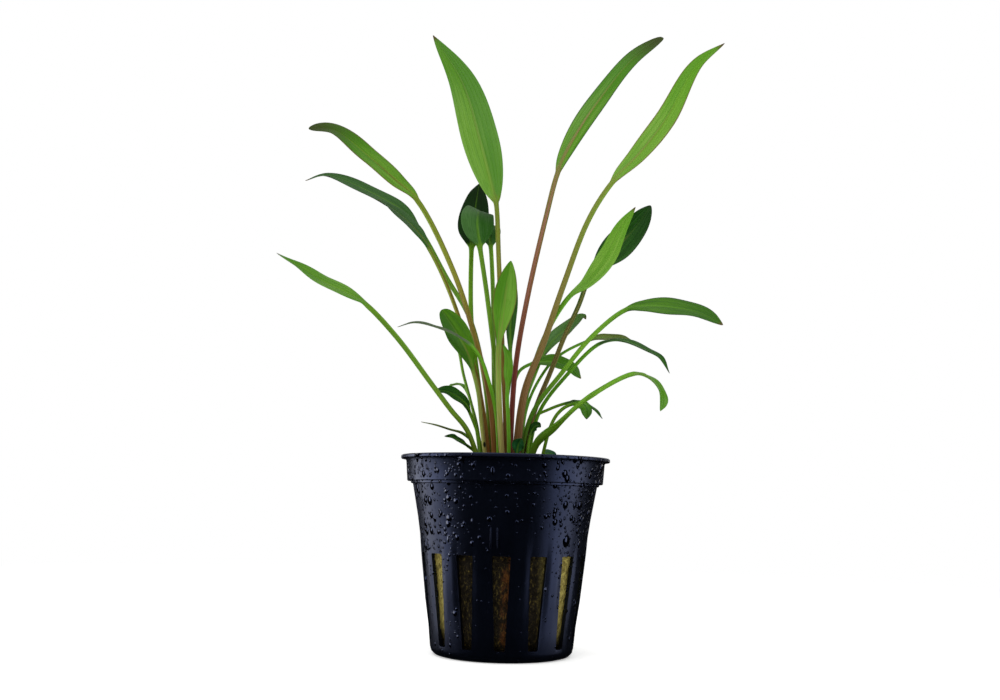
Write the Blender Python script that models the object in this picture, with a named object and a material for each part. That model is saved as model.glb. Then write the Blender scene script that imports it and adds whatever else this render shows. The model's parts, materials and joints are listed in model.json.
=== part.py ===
"""A potted cryptocoryne: slotted plant pot, rock wool, two crowns and their leaves.

Sizes are in millimetres here and become metres when a mesh is made. +Z is up,
+X is to the right and -Y is the front. The origin is the middle of the pot's
underside.
"""
import math
from dataclasses import dataclass

import bmesh
import bpy
from mathutils import Matrix, Vector, noise

MM = 0.001
GAP = 0.35
MERGE_DISTANCE = 0.001
SHARP_EDGE_DEGREES = 35

# Pot: a 5 cm net pot with a lip, a collar and slotted walls.
POT_HEIGHT = 50.75
LIP_RADIUS = 27.5
LIP_THICK = 1.0
COLLAR_TOP_RADIUS = 26.2
COLLAR_FOOT_RADIUS = 25.7
COLLAR_FOOT = 44.0
WALL_TOP_RADIUS = 24.3
SLOT_TOP_RADIUS = 21.2
BASE_RADIUS = 18.5
BASE_BEVEL = 2.2
BASE_INNER_BEVEL = 1.4
LIP_ROUND = 0.2
WALL_BULGE = ((19.8, 14.0), (22.6, 35.0))
WALL = 1.0
SEGMENTS = 56

# Slots between the pot's bars.
SLOT_COUNT = 14
SLOT_TURN = -1.8
SLOT_FOOT = 3.0
SLOT_TOP = 25.9
SLOT_FOOT_WIDTH = 2.6
SLOT_TOP_WIDTH = 4.6
SLOT_DEPTH = 4.0

# Drain holes in the pot's floor.
DRAIN_COUNT = 7
DRAIN_RADIUS = 1.6
DRAIN_CIRCLE = 11.0
DRAIN_SIDES = 10

# Rock wool, and the two crowns that stand on it.
WOOL_FOOT = WALL + GAP
WOOL_TOP = 42.3
WOOL_SIDES = 28
WOOL_RINGS = 7
WOOL_ROUGHNESS = 0.5
WOOL_SHOULDER = 2.1
WOOL_LUMP_SIZE = 2.8
WOOL_TOP_BAND = 0.1
WOOL_CENTER_RADIUS = 1.0
CROWN_HEIGHT = 1.7
CROWN_HALF_LENGTH = 8.6
CROWN_SQUARENESS = 4
CROWN_SIDES = 20
CROWN_RINGS = 10
CROWN_LEFT_CENTER = (-4.45, -1.0)
CROWN_LEFT_HALF_WIDTH = 4.35
CROWN_RIGHT_CENTER = (5.15, -1.5)
CROWN_RIGHT_HALF_WIDTH = 4.9

# Leaf sections.
LEAF_SIDES = 6
RINGS_PER_SPAN = 2
BLADE_THICKNESS = 0.7
RIM_THICKNESS = 0.25
TIP_WIDTH = 0.3
FLAT_FROM_WIDTH = 0.5
TIP_THINNING_POWER = 3


@dataclass(frozen=True)
class Leaf:
    """One leaf, from its foot on the crown to the tip of its blade.

    stalk and blade are points on the middle line, foot first; the first point
    of the blade is its neck. face is the way the blade's upper side looks, and
    widest is where the blade is widest, as a part of its length. A high
    base_power or tip_power draws that end out thin and a low one rounds it.
    fold lifts the edges, and sheath is how many times wider than the rest of
    the stalk its foot is.
    """

    name: str
    stalk: tuple
    blade: tuple
    stalk_width: float
    blade_width: float
    face: tuple
    color: tuple
    widest: float = 0.43
    base_power: float = 1.7
    tip_power: float = 0.85
    fold: float = 0.18
    sheath: float = 1.0


# Plain colours and how rough each piece is.
POT_COLOR = (0.012, 0.014, 0.022)
POT_ROUGHNESS = 0.35
WOOL_COLOR = (0.20, 0.19, 0.06)
WOOL_MATT = 0.95
CROWN_COLOR = (0.20, 0.12, 0.05)
CROWN_ROUGHNESS = 0.8
LEAF_ROUGHNESS = 0.4
GUIDE_COLOR = (0.5, 0.5, 0.5)
GUIDE_ROUGHNESS = 0.5
BRIGHT = (0.16, 0.36, 0.03)
MID = (0.10, 0.25, 0.03)
DARK = (0.03, 0.12, 0.03)
PALE = (0.28, 0.42, 0.10)
OLIVE = (0.17, 0.22, 0.05)

LEAVES = (
    Leaf("leaf_left_tallest",
         stalk=((0.5, -4, 44.8), (-0.5, -3, 64), (-2, -1.5, 87), (-3, 0, 103.5)),
         blade=((-4.1, 1.2, 120), (-5, 2.2, 123.4), (-8.7, 4.5, 137.4), (-14.4, 8, 156.3),
                (-23.5, 10, 171.5)),
         stalk_width=1.3, blade_width=10.4, face=(0.05, -1, 0.2), color=BRIGHT, widest=0.36,
         base_power=0.6, tip_power=0.9),
    Leaf("leaf_left_high",
         stalk=((-2.5, -3.5, 44.8), (-4.5, -3.5, 65.5), (-8.9, -3, 82.2), (-14.9, -3.5, 99.4)),
         blade=((-25.3, -5, 118.7), (-31, -5.5, 123.5), (-38.3, -6, 129.7), (-48.1, -8, 136.5),
                (-54.4, -10, 136.1)),
         stalk_width=1.4, blade_width=7.2, face=(0.32, -0.75, 0.6), color=MID, tip_power=0.5, fold=0.1,
         base_power=0.5, widest=0.45),
    Leaf("leaf_left_arching",
         stalk=((-3.5, 1.7, 44.8), (-5.7, 2, 69), (-10.4, 4, 88), (-17.3, 7, 100)),
         blade=((-25, 10, 113.5), (-30, 11, 119.1), (-40, 14, 125.5), (-53.7, 18, 131.5),
                (-60.2, 21, 130.7)),
         stalk_width=1.3, blade_width=6.9, face=(0.3, -0.64, 0.7), color=DARK, widest=0.32, fold=0.1,
         base_power=1.2, tip_power=0.75),
    Leaf("leaf_left_arching_under",
         stalk=((-3.5, -1, 44.8), (-7, -1, 67), (-12, -0.5, 84), (-17, 1, 97)),
         blade=((-22, 3, 106.9), (-25.5, 4, 111.8), (-30.1, 6, 116.7), (-34.1, 8, 120.2),
                (-37.5, 10, 122.7)),
         stalk_width=1.1, blade_width=6.2, face=(0.4, -0.5, 0.75), color=MID, fold=0.1, base_power=1.2),
    Leaf("leaf_left_reaching",
         stalk=((-5.5, -5.5, 44.8), (-10.1, -7.8, 57.1), (-14.4, -9.5, 62.2), (-19.8, -13, 69),
                (-27.9, -18, 79.2)),
         blade=((-35.5, -22, 86.8), (-38.5, -23.5, 88.5), (-46, -27, 91.5), (-52.2, -30, 94.9),
                (-56.6, -33, 97.3)),
         stalk_width=1.3, blade_width=6.2, face=(0.37, -0.57, 0.73), color=MID, tip_power=1.2, fold=0.1,
         widest=0.38, base_power=0.7),
    Leaf("leaf_left_wisp",
         stalk=((-1.7, -5, 44.8), (-2.3, -5.2, 57.6), (-3.4, -5.5, 65.1), (-5, -6, 70.5),
                (-6.8, -6.6, 75.4)),
         blade=((-9.7, -8.7, 79.2), (-13.1, -10.6, 81.2), (-17.7, -12.5, 82.9), (-24, -14.5, 83.9),
                (-28.5, -16, 82.4)),
         stalk_width=1.0, blade_width=2.0, face=(0.1, -0.2, 1), color=PALE),
    Leaf("leaf_left_short",
         stalk=((-4.5, -2.4, 44.8), (-6.5, -3, 59), (-7.5, -4, 67)),
         blade=((-9, -5, 72.7), (-11, -6, 78), (-13.7, -7.5, 82.5), (-15.9, -9, 85.7),
                (-17.7, -10, 88.2)),
         stalk_width=1.1, blade_width=7.2, face=(0.3, -0.9, 0.3), color=DARK, widest=0.55, tip_power=0.45,
         base_power=1.3),
    Leaf("leaf_left_short_back",
         stalk=((-6, 2, 44.8), (-8.5, 3, 61), (-12, 5, 73.5)),
         blade=((-13.5, 6.5, 80), (-14.5, 7, 81.5), (-15.5, 8, 83), (-17, 9.5, 84.5)),
         stalk_width=0.8, blade_width=3.0, face=(0.4, -0.5, 0.7), color=MID),
    Leaf("leaf_left_low",
         stalk=((-6, -0.3, 44.8), (-7, -1.5, 55)),
         blade=((-9.6, -3.5, 61.9), (-11, -5, 64.2), (-13.3, -7, 66), (-16.1, -8.5, 67.1),
                (-18.8, -9.5, 66.9)),
         stalk_width=0.9, blade_width=4.8, face=(0.3, -0.7, 0.6), color=DARK, base_power=1.2),
    Leaf("leaf_left_low_edge",
         stalk=((-6, 4, 44.8), (-7.5, 5, 57.5), (-9.5, 8, 65)),
         blade=((-11, 10, 69), (-13, 12, 71), (-15, 14, 71), (-16.5, 15.5, 70.5)),
         stalk_width=0.8, blade_width=1.8, face=(0.2, -0.3, 0.95), color=MID),
    Leaf("leaf_left_lowest",
         stalk=((-7.2, -3.6, 44.8), (-8.2, -4.8, 53.5)),
         blade=((-11.2, -6, 56.4), (-14.5, -8.5, 57.2), (-17.9, -14, 57.9), (-21.5, -18, 58.4)),
         stalk_width=0.8, blade_width=1.1, face=(0.2, -0.3, 0.95), color=MID),
    Leaf("leaf_left_tiny",
         stalk=((-8, -1.5, 44.8), (-8, -2.5, 51.5)),
         blade=((-9.8, -4, 53.2), (-11.8, -6, 54.2), (-13.9, -8.5, 55.2), (-15.9, -10, 55.4)),
         stalk_width=0.8, blade_width=2.4, face=(0.2, -0.7, 0.6), color=DARK),
    Leaf("leaf_middle_back",
         stalk=((-3.5, 5.5, 44.8), (-7.3, 8, 68), (-10.3, 11, 89)),
         blade=((-10.9, 15, 110.5), (-10.9, 18.3, 115.5), (-10.5, 22, 121.5), (-10, 26.5, 128),
                (-9.5, 31, 134)),
         stalk_width=1.3, blade_width=9, face=(0, -0.8, 0.6), color=DARK, widest=0.3, base_power=0.7),
    Leaf("leaf_middle_glossy",
         stalk=((-1.5, 3.5, 44.8), (-2.6, 3.5, 69.5), (-5.8, 4.5, 93.5)),
         blade=((-8.4, 6, 109), (-9, 6.5, 112.5), (-9.3, 8, 116.5), (-9, 11.5, 120), (-8.2, 17, 121.5)),
         stalk_width=1.3, blade_width=9.6, face=(0.2, -0.75, 0.62), color=MID, widest=0.36,
         tip_power=0.45, base_power=0.6, fold=0.02),
    Leaf("leaf_middle_behind",
         stalk=((-2, 6.5, 44.8), (-3.5, 7.5, 70), (-4.5, 9, 97.5)),
         blade=((-5.4, 10.5, 110), (-5.8, 11.5, 112.6), (-6, 13, 115.2), (-5.7, 15.5, 117),
                (-5, 19, 118)),
         stalk_width=1.2, blade_width=6.6, face=(0.1, -0.75, 0.65), color=DARK, widest=0.36,
         base_power=0.8),
    Leaf("leaf_front_bright",
         stalk=((-0.5, -6.5, 44.8), (-2, -7, 63.5), (-2.5, -8, 75.5)),
         blade=((-2.5, -8.3, 79.2), (-2.2, -8.8, 83.7), (-1.5, -9.3, 89.4), (-0.7, -10.8, 95.5),
                (0.2, -12.5, 101.2)),
         stalk_width=1.5, blade_width=6.3, face=(0.1, -1, 0.15), color=BRIGHT, widest=0.55,
         base_power=1.3),
    Leaf("leaf_front_shadow",
         stalk=((-0.45, 0.8, 44.8), (-0.3, 0.1, 63), (0.8, -2.8, 73.1)),
         blade=((0.6, -3.9, 77.8), (0.4, -4.6, 82.8), (0.5, -5, 88.6), (0.7, -6, 94.6), (1, -7, 99.2)),
         stalk_width=1.0, blade_width=3.4, face=(0.3, -1, 0.1), color=DARK, widest=0.6, base_power=1),
    Leaf("leaf_front_small",
         stalk=((1, -8, 44.8), (0.5, -8.5, 58.5), (0, -9.5, 65.5)),
         blade=((0, -10, 67.5), (0, -10.5, 71), (0, -11, 75.5), (-1.5, -12, 79.5)),
         stalk_width=1.0, blade_width=2.4, face=(0.1, -1, 0.1), color=BRIGHT),
    Leaf("leaf_right_tall",
         stalk=((1, -2, 44.8), (2, -1, 73.5), (4.8, 1, 93), (9.7, 3, 117)),
         blade=((12.8, 4.5, 130), (16, 5, 137.7), (22.6, 6, 149.2), (33.5, 7, 164.1), (42.4, 8, 171.5)),
         stalk_width=1.4, blade_width=6.3, face=(-0.35, -0.87, 0.35), color=BRIGHT, widest=0.34,
         tip_power=0.35, fold=0.12, base_power=0.6),
    Leaf("leaf_right_tallest",
         stalk=((2.2, -5.5, 44.8), (4.6, -5.2, 67.8), (9.2, -4.8, 80.5), (14.5, -3.8, 97),
                (20.9, -3, 114.8)),
         blade=((27.1, -3, 125.2), (34.4, -4, 133), (41.3, -5.5, 142.2), (49, -8.5, 156.4),
                (55.8, -13, 161.3)),
         stalk_width=1.4, blade_width=7.2, face=(-0.4, -0.82, 0.4), color=BRIGHT, widest=0.34,
         tip_power=0.75, base_power=0.65, fold=0.12, sheath=1.9),
    Leaf("leaf_right_mid",
         stalk=((3.2, -1.5, 44.8), (5.3, -1.5, 68), (10, -1.5, 83.6)),
         blade=((16.2, -2, 94), (20.9, -2.5, 97.7), (26.2, -3.5, 104.8), (29.5, -5, 112),
                (33.1, -7, 117.7)),
         stalk_width=1.3, blade_width=5.4, face=(-0.25, -0.95, 0.2), color=BRIGHT, fold=0.12,
         base_power=1.1),
    Leaf("leaf_right_oval",
         stalk=((3, 0.8, 44.8), (7.6, 2, 63.6), (11.6, 3.5, 74), (15.2, 5, 83.7), (19.2, 6.5, 93)),
         blade=((22.6, 8, 102.2), (25.7, 9, 105.8), (30.2, 11, 110.6), (35.7, 13.5, 117.4),
                (40.2, 16, 124.4)),
         stalk_width=1.3, blade_width=8.6, face=(-0.1, -1, 0.1), color=DARK, tip_power=0.7, widest=0.4,
         base_power=1.0),
    Leaf("leaf_right_hooked",
         stalk=((3, 3.2, 44.8), (4.5, 6, 64), (7.5, 9, 73.5)),
         blade=((9.8, 12, 79.4), (12.4, 13, 83.6), (15.2, 14.5, 86.6), (18.3, 16, 89.5),
                (21.4, 17.5, 92.1), (22.2, 18, 91)),
         stalk_width=0.9, blade_width=5.4, face=(-0.35, -0.77, 0.5), color=MID, fold=0.1, base_power=0.9),
    Leaf("leaf_right_level",
         stalk=((1, 2.5, 44.8), (1.5, 5, 66.5), (3.1, 7, 74.3)),
         blade=((6.5, 8.5, 76.8), (9.4, 9, 77.4), (13.4, 10, 77.5), (17.4, 11.5, 76.3), (20.7, 13, 73.5)),
         stalk_width=0.9, blade_width=6, face=(0, -0.75, 0.65), color=BRIGHT, widest=0.5, fold=0.1,
         base_power=0.9),
    Leaf("leaf_right_pale",
         stalk=((4, 5.5, 44.8), (5.5, 8, 64.5), (10.5, 12, 75.5), (15, 15, 80.5)),
         blade=((21.5, 18, 84.4), (24.5, 20, 85.7), (29, 23, 86.7), (33.2, 25, 87), (36.7, 27, 86.6)),
         stalk_width=0.8, blade_width=2.8, face=(0, -0.8, 0.6), color=OLIVE),
    Leaf("leaf_right_dark_arch",
         stalk=((5.2, 1.2, 44.8), (8.5, -0.5, 62.5), (15.8, -3.5, 72.8)),
         blade=((23.3, -7, 80.3), (27.2, -9, 81.3), (30.6, -11, 80.6), (35.1, -14, 78.2),
                (38.5, -17, 75.7), (40.5, -19, 71.7)),
         stalk_width=1.0, blade_width=3.6, face=(0.1, -0.35, 0.9), color=DARK, tip_power=1.25),
    Leaf("leaf_right_broad",
         stalk=((2.8, -3.5, 44.8), (6.6, -4, 61.9), (14.3, -6, 73), (22, -9, 82.5)),
         blade=((29.9, -13, 88.7), (34.4, -15, 89.3), (40.9, -18, 88.6), (47.7, -21, 86.9),
                (52.9, -24, 83.5)),
         stalk_width=1.2, blade_width=7.2, face=(0.05, -0.75, 0.65), color=MID, widest=0.38,
         tip_power=0.7, fold=0.1, base_power=0.8),
    Leaf("leaf_right_low_arch",
         stalk=((5.4, -6.4, 44.8), (7.8, -7.5, 54.1), (12.7, -9, 58.7), (20, -14, 65.4)),
         blade=((31.1, -21, 71.3), (34, -23, 70.5), (36.3, -25, 68.2), (37.4, -27, 64.7),
                (36.8, -28, 61.5)),
         stalk_width=1.2, blade_width=4.4, face=(0.75, -0.5, 0.5), color=BRIGHT, widest=0.6, sheath=2.8,
         base_power=1),
    Leaf("leaf_right_low_thin",
         stalk=((5.8, 3.6, 44.8), (7.5, 3.5, 61.5), (11.5, 3, 64)),
         blade=((15.5, 2, 65.5), (18.5, 0, 66), (22.5, -3, 64), (25, -6, 61)),
         stalk_width=0.8, blade_width=1.6, face=(0.2, -0.3, 0.95), color=DARK),
    Leaf("leaf_right_hanging",
         stalk=((8.3, -1.5, 44.8), (11.8, -3.5, 59.5), (14, -5, 63)),
         blade=((16.5, -6.5, 64.5), (18.5, -8, 64.5), (20, -9, 63.5), (20.5, -10, 60.5)),
         stalk_width=0.9, blade_width=3.6, face=(0.3, -0.9, 0.3), color=BRIGHT, widest=0.6),
    Leaf("leaf_right_small_dark",
         stalk=((5, -3.1, 44.8), (5.9, -2.7, 54)),
         blade=((6.3, -2.5, 56.5), (6.9, -2.4, 58), (7.6, -2.5, 58.9), (8.4, -2.7, 59.1),
                (9.1, -2.9, 58.7)),
         stalk_width=0.8, blade_width=2.4, face=(0, -0.9, 0.4), color=DARK, widest=0.6),
    Leaf("leaf_right_teal",
         stalk=((3.4, -8, 44.8), (3, -8.3, 50)),
         blade=((2.9, -8.5, 51), (2.9, -8.9, 52.4), (3.2, -9.4, 53.8), (3.9, -10.2, 55.3)),
         stalk_width=0.9, blade_width=3.4, face=(0, -1, 0.2), color=DARK, widest=0.6),
    Leaf("leaf_right_rim",
         stalk=((9.2, 1.2, 44.8), (9, 1.6, 50)),
         blade=((9.4, 2, 51.3), (10.5, 3, 51.9), (12, 4, 52.1), (14, 5, 51.3)),
         stalk_width=0.8, blade_width=2.4, face=(0.2, -0.8, 0.5), color=DARK),
)


def clear_scene():
    """Remove whatever objects the file opened with."""
    for item in list(bpy.data.objects):
        bpy.data.objects.remove(item, do_unlink=True)


def plain_material(name, color, roughness):
    """Return a Principled material of one colour for a single node."""
    material = bpy.data.materials.new(name)
    material.use_nodes = True
    shader = material.node_tree.nodes["Principled BSDF"]
    shader.inputs["Base Color"].default_value = (*color, 1.0)
    shader.inputs["Roughness"].default_value = roughness
    shader.inputs["Metallic"].default_value = 0.0
    return material


def add_node(name, bm, color, roughness):
    """Turn a bmesh in millimetres into a named object in metres."""
    bmesh.ops.scale(bm, vec=(MM, MM, MM), verts=bm.verts)
    bmesh.ops.recalc_face_normals(bm, faces=bm.faces)
    mesh = bpy.data.meshes.new(name)
    bm.to_mesh(mesh)
    bm.free()
    mesh.shade_smooth()
    mesh.set_sharp_from_angle(angle=math.radians(SHARP_EDGE_DEGREES))
    node = bpy.data.objects.new(name, mesh)
    node.data.materials.append(plain_material(name, color, roughness))
    bpy.context.collection.objects.link(node)
    return node


def spin_profile(profile, segments, turn, closed=True):
    """Return a bmesh turned around Z from a profile of (radius, height) points.

    A closed profile is a ring's outline; an open one starts and ends on the axis.
    """
    bm = bmesh.new()
    start = Matrix.Rotation(math.radians(turn), 4, "Z")
    verts = [bm.verts.new(start @ Vector((0, -radius, height))) for radius, height in profile]
    ends = verts[1:] + verts[:1] if closed else verts[1:]
    edges = [bm.edges.new(pair) for pair in zip(verts, ends)]
    bmesh.ops.spin(bm, geom=verts + edges, axis=(0, 0, 1), cent=(0, 0, 0), angle=math.tau,
                   steps=segments, use_merge=True)
    bmesh.ops.remove_doubles(bm, verts=bm.verts, dist=MERGE_DISTANCE)
    return bm


def pot_profile():
    """Return the pot's outline, from the middle of its underside round to its floor."""
    inner_base = BASE_RADIUS - WALL
    corner = BASE_BEVEL * (1 - math.cos(math.pi / 4))
    return [
        (0, 0), (BASE_RADIUS - BASE_BEVEL, 0), (BASE_RADIUS - corner, corner), (BASE_RADIUS, BASE_BEVEL),
        WALL_BULGE[0], (SLOT_TOP_RADIUS, SLOT_TOP), WALL_BULGE[1], (WALL_TOP_RADIUS, COLLAR_FOOT),
        (COLLAR_FOOT_RADIUS, COLLAR_FOOT), (COLLAR_TOP_RADIUS, POT_HEIGHT - LIP_THICK),
        (LIP_RADIUS - LIP_ROUND, POT_HEIGHT - LIP_THICK), (LIP_RADIUS, POT_HEIGHT - LIP_THICK / 2),
        (LIP_RADIUS - LIP_ROUND, POT_HEIGHT), (COLLAR_TOP_RADIUS - WALL, POT_HEIGHT),
        (COLLAR_FOOT_RADIUS - WALL, COLLAR_FOOT - WALL / 2), (WALL_TOP_RADIUS - WALL, COLLAR_FOOT - WALL),
        (SLOT_TOP_RADIUS - WALL, SLOT_TOP), (inner_base, BASE_BEVEL), (inner_base - BASE_INNER_BEVEL, WALL),
        (0, WALL),
    ]


def around(count, turn=0.0):
    """Yield the angle of each of count things set evenly round the pot."""
    for step in range(count):
        yield math.radians(turn) + math.tau * step / count


def slot_cutter():
    """Return one bmesh holding a tapered wedge for each slot."""
    bm = bmesh.new()
    near, far = BASE_RADIUS - SLOT_DEPTH, LIP_RADIUS
    for angle in around(SLOT_COUNT, SLOT_TURN):
        wedge = bmesh.ops.create_cube(bm, size=1.0)["verts"]
        for vert in wedge:
            top = vert.co.z > 0
            width = SLOT_TOP_WIDTH if top else SLOT_FOOT_WIDTH
            vert.co.x *= width
            vert.co.y = -far if vert.co.y < 0 else -near
            vert.co.z = SLOT_TOP if top else SLOT_FOOT
        bmesh.ops.rotate(bm, verts=wedge, cent=(0, 0, 0), matrix=Matrix.Rotation(angle, 3, "Z"))
    return bm


def drain_cutter():
    """Return one bmesh holding a round plug for each drain hole."""
    bm = bmesh.new()
    for angle in around(DRAIN_COUNT, SLOT_TURN):
        place = Matrix.Rotation(angle, 4, "Z") @ Matrix.Translation((0, -DRAIN_CIRCLE, WALL / 2))
        bmesh.ops.create_cone(bm, cap_ends=True, segments=DRAIN_SIDES, radius1=DRAIN_RADIUS,
                              radius2=DRAIN_RADIUS, depth=4 * WALL, matrix=place)
    return bm


def cut(node, name, bm):
    """Cut a node with a bmesh, kept in the file as a wire guide."""
    guide = add_node(name, bm, GUIDE_COLOR, GUIDE_ROUGHNESS)
    guide.hide_render = True
    guide.display_type = "WIRE"
    boolean = node.modifiers.new(name, "BOOLEAN")
    boolean.operation = "DIFFERENCE"
    boolean.solver = "EXACT"
    boolean.object = guide


def add_pot():
    """Model the moulded pot with its slots and drain holes."""
    bm = spin_profile(pot_profile(), SEGMENTS, SLOT_TURN + 180 / SEGMENTS, closed=False)
    pot = add_node("pot", bm, POT_COLOR, POT_ROUGHNESS)
    cut(pot, "slot_guide", slot_cutter())
    cut(pot, "drain_guide", drain_cutter())


def wall_radius_inside(height):
    """Return the pot's inner radius at a height, below its collar."""
    low, high = (BASE_RADIUS, BASE_BEVEL), (SLOT_TOP_RADIUS, SLOT_TOP)
    if height > SLOT_TOP:
        low, high = high, (WALL_TOP_RADIUS, COLLAR_FOOT - WALL)
    part = (height - low[1]) / (high[1] - low[1])
    return low[0] + part * (high[0] - low[0]) - WALL


def add_rock_wool():
    """Model the wool plug: a rough tapered drum just inside the wall."""
    low, high = BASE_BEVEL + WOOL_ROUGHNESS, WOOL_TOP - WOOL_SHOULDER
    profile = [(0, WOOL_FOOT), (BASE_RADIUS - BASE_BEVEL - WALL - GAP, WOOL_FOOT)]
    for step in range(WOOL_RINGS):
        height = low + step * (high - low) / (WOOL_RINGS - 1)
        profile.append((wall_radius_inside(height) - GAP, height))
    shoulder = wall_radius_inside(WOOL_TOP) - WOOL_SHOULDER
    profile += [(shoulder, WOOL_TOP), (shoulder / 2, WOOL_TOP), (0, WOOL_TOP)]
    bm = spin_profile(profile, WOOL_SIDES, 0, closed=False)
    for vert in bm.verts:
        lump = WOOL_ROUGHNESS * (1 + noise.noise(vert.co / WOOL_LUMP_SIZE)) / 2
        flat = Vector((vert.co.x, vert.co.y, 0))
        if flat.length > WOOL_CENTER_RADIUS:
            vert.co -= flat.normalized() * lump
        if vert.co.z > WOOL_TOP - WOOL_TOP_BAND:
            vert.co.z -= lump
    add_node("rock_wool", bm, WOOL_COLOR, WOOL_MATT)


def add_crown(name, center, half_width):
    """Model one crown: a low, long cushion with a flat top, which one plant's leaves stand on."""
    bm = bmesh.new()
    bmesh.ops.create_uvsphere(bm, u_segments=CROWN_SIDES, v_segments=CROWN_RINGS, radius=1.0)
    bmesh.ops.bisect_plane(bm, geom=bm.verts[:] + bm.edges[:] + bm.faces[:], plane_co=(0, 0, 0),
                           plane_no=(0, 0, -1), clear_outer=True)
    bmesh.ops.holes_fill(bm, edges=bm.edges)
    for vert in bm.verts:
        vert.co /= sum(abs(part) ** CROWN_SQUARENESS for part in vert.co) ** (1 / CROWN_SQUARENESS)
        vert.co.x *= half_width
        vert.co.y *= CROWN_HALF_LENGTH
        vert.co.z *= CROWN_HEIGHT
    bmesh.ops.translate(bm, verts=bm.verts, vec=(*center, WOOL_TOP + GAP))
    add_node(name, bm, CROWN_COLOR, CROWN_ROUGHNESS)


def smooth_curve(points, per_span):
    """Return points on a smooth curve through the given points.

    The curve is a centripetal Catmull-Rom spline with per_span steps between
    each two neighbours.
    """
    given = [Vector(point) for point in points]
    given = [2 * given[0] - given[1], *given, 2 * given[-1] - given[-2]]
    line = []
    for before, start, end, after in zip(given, given[1:], given[2:], given[3:]):
        knots = [0.0]
        for left, right in ((before, start), (start, end), (end, after)):
            knots.append(knots[-1] + math.sqrt((right - left).length))
        for step in range(per_span):
            at = knots[1] + (knots[2] - knots[1]) * step / per_span
            line.append(spline_point((before, start, end, after), knots, at))
    line.append(given[-2])
    return line


def spline_point(corners, knots, at):
    """Return the point of a Catmull-Rom span at one knot value."""
    level = list(corners)
    spans = ((0, 1), (1, 2), (2, 3)), ((0, 2), (1, 3)), ((1, 2),)
    for row in spans:
        level = [
            (knots[high] - at) / (knots[high] - knots[low]) * level[index]
            + (at - knots[low]) / (knots[high] - knots[low]) * level[index + 1]
            for index, (low, high) in enumerate(row)
        ]
    return level[0]


def blade_outline(leaf, along):
    """Return the blade's width at a place along it, as a part of its full width."""
    if along < leaf.widest:
        return math.sin(math.pi / 2 * along / leaf.widest) ** leaf.base_power
    beyond = (along - leaf.widest) / (1 - leaf.widest)
    return (1 - beyond ** 2) ** leaf.tip_power


def leaf_section(leaf, place, tangent, along):
    """Return one ring of points: round on the stalk, a folded lens on the blade.

    along runs from -1 at the foot to 0 at the neck and to 1 at the tip.
    """
    part = max(along, 0.0)
    across = tangent.cross(Vector(leaf.face)).normalized()
    outward = across.cross(tangent).normalized()
    blade = leaf.blade_width * blade_outline(leaf, part) if along > 0 else 0.0
    stalk = leaf.stalk_width * (1 - part)
    spread = 1 + (leaf.sheath - 1) * min(along, 0.0) ** 2
    half_width = max(math.hypot(blade, stalk * spread), TIP_WIDTH) / 2
    flatness = min(1.0, blade / leaf.blade_width / FLAT_FROM_WIDTH)
    depth = (stalk + (BLADE_THICKNESS - stalk) * flatness) / 2
    depth = max(depth * (1 - part ** TIP_THINNING_POWER), RIM_THICKNESS / 2)
    ring = []
    for corner in range(LEAF_SIDES):
        angle = math.tau * corner / LEAF_SIDES
        sideways = half_width * math.cos(angle)
        lift = depth * math.sin(angle) + leaf.fold * flatness * abs(sideways)
        ring.append(place + across * sideways + outward * lift)
    return ring


def leaf_rings(leaf):
    """Return the rings of a leaf from its foot to its tip."""
    line = smooth_curve(leaf.stalk + leaf.blade, RINGS_PER_SPAN)
    neck = len(leaf.stalk) * RINGS_PER_SPAN
    steps = [(end - start).length for start, end in zip(line, line[1:])]
    stalk_length, blade_length = sum(steps[:neck]), sum(steps[neck:])
    rings = []
    for index, place in enumerate(line):
        before, after = line[max(index - 1, 0)], line[min(index + 1, len(line) - 1)]
        run = sum(steps[:index]) - stalk_length
        along = min(run / (blade_length if run > 0 else stalk_length), 1.0)
        rings.append(leaf_section(leaf, place, (after - before).normalized(), along))
    return rings


def grow(rings):
    """Return a closed bmesh made by extruding a face from each ring to the next."""
    bm = bmesh.new()
    face = bm.faces.new([bm.verts.new(point) for point in rings[0]])
    for index, (ring, next_ring) in enumerate(zip(rings, rings[1:])):
        grown = bmesh.ops.extrude_face_region(bm, geom=[face])["geom"]
        if index > 0:
            bm.faces.remove(face)
        face = next(item for item in grown if isinstance(item, bmesh.types.BMFace))
        for vert in face.verts:
            corner = min(range(LEAF_SIDES), key=lambda side: (ring[side] - vert.co).length)
            vert.co = next_ring[corner]
    return bm


def add_leaf(leaf):
    """Model one leaf as a single closed solid."""
    add_node(leaf.name, grow(leaf_rings(leaf)), leaf.color, LEAF_ROUGHNESS)


def main():
    """Build the pot, the wool, the crowns and the leaves."""
    clear_scene()
    add_pot()
    add_rock_wool()
    add_crown("crown_left", CROWN_LEFT_CENTER, CROWN_LEFT_HALF_WIDTH)
    add_crown("crown_right", CROWN_RIGHT_CENTER, CROWN_RIGHT_HALF_WIDTH)
    for leaf in LEAVES:
        add_leaf(leaf)


if __name__ == "__main__":
    main()
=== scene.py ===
"""Looks of a potted cryptocoryne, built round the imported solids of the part.

Shapes are worked in millimetres and become metres when a piece is settled. +Z is
up, +X is to the right and -Y is the front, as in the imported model.
"""
import json
import logging
import math
from contextlib import contextmanager
from dataclasses import dataclass
from enum import Enum
from typing import Callable, Iterator

import bmesh
import bpy
from mathutils import Matrix, Vector


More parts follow.
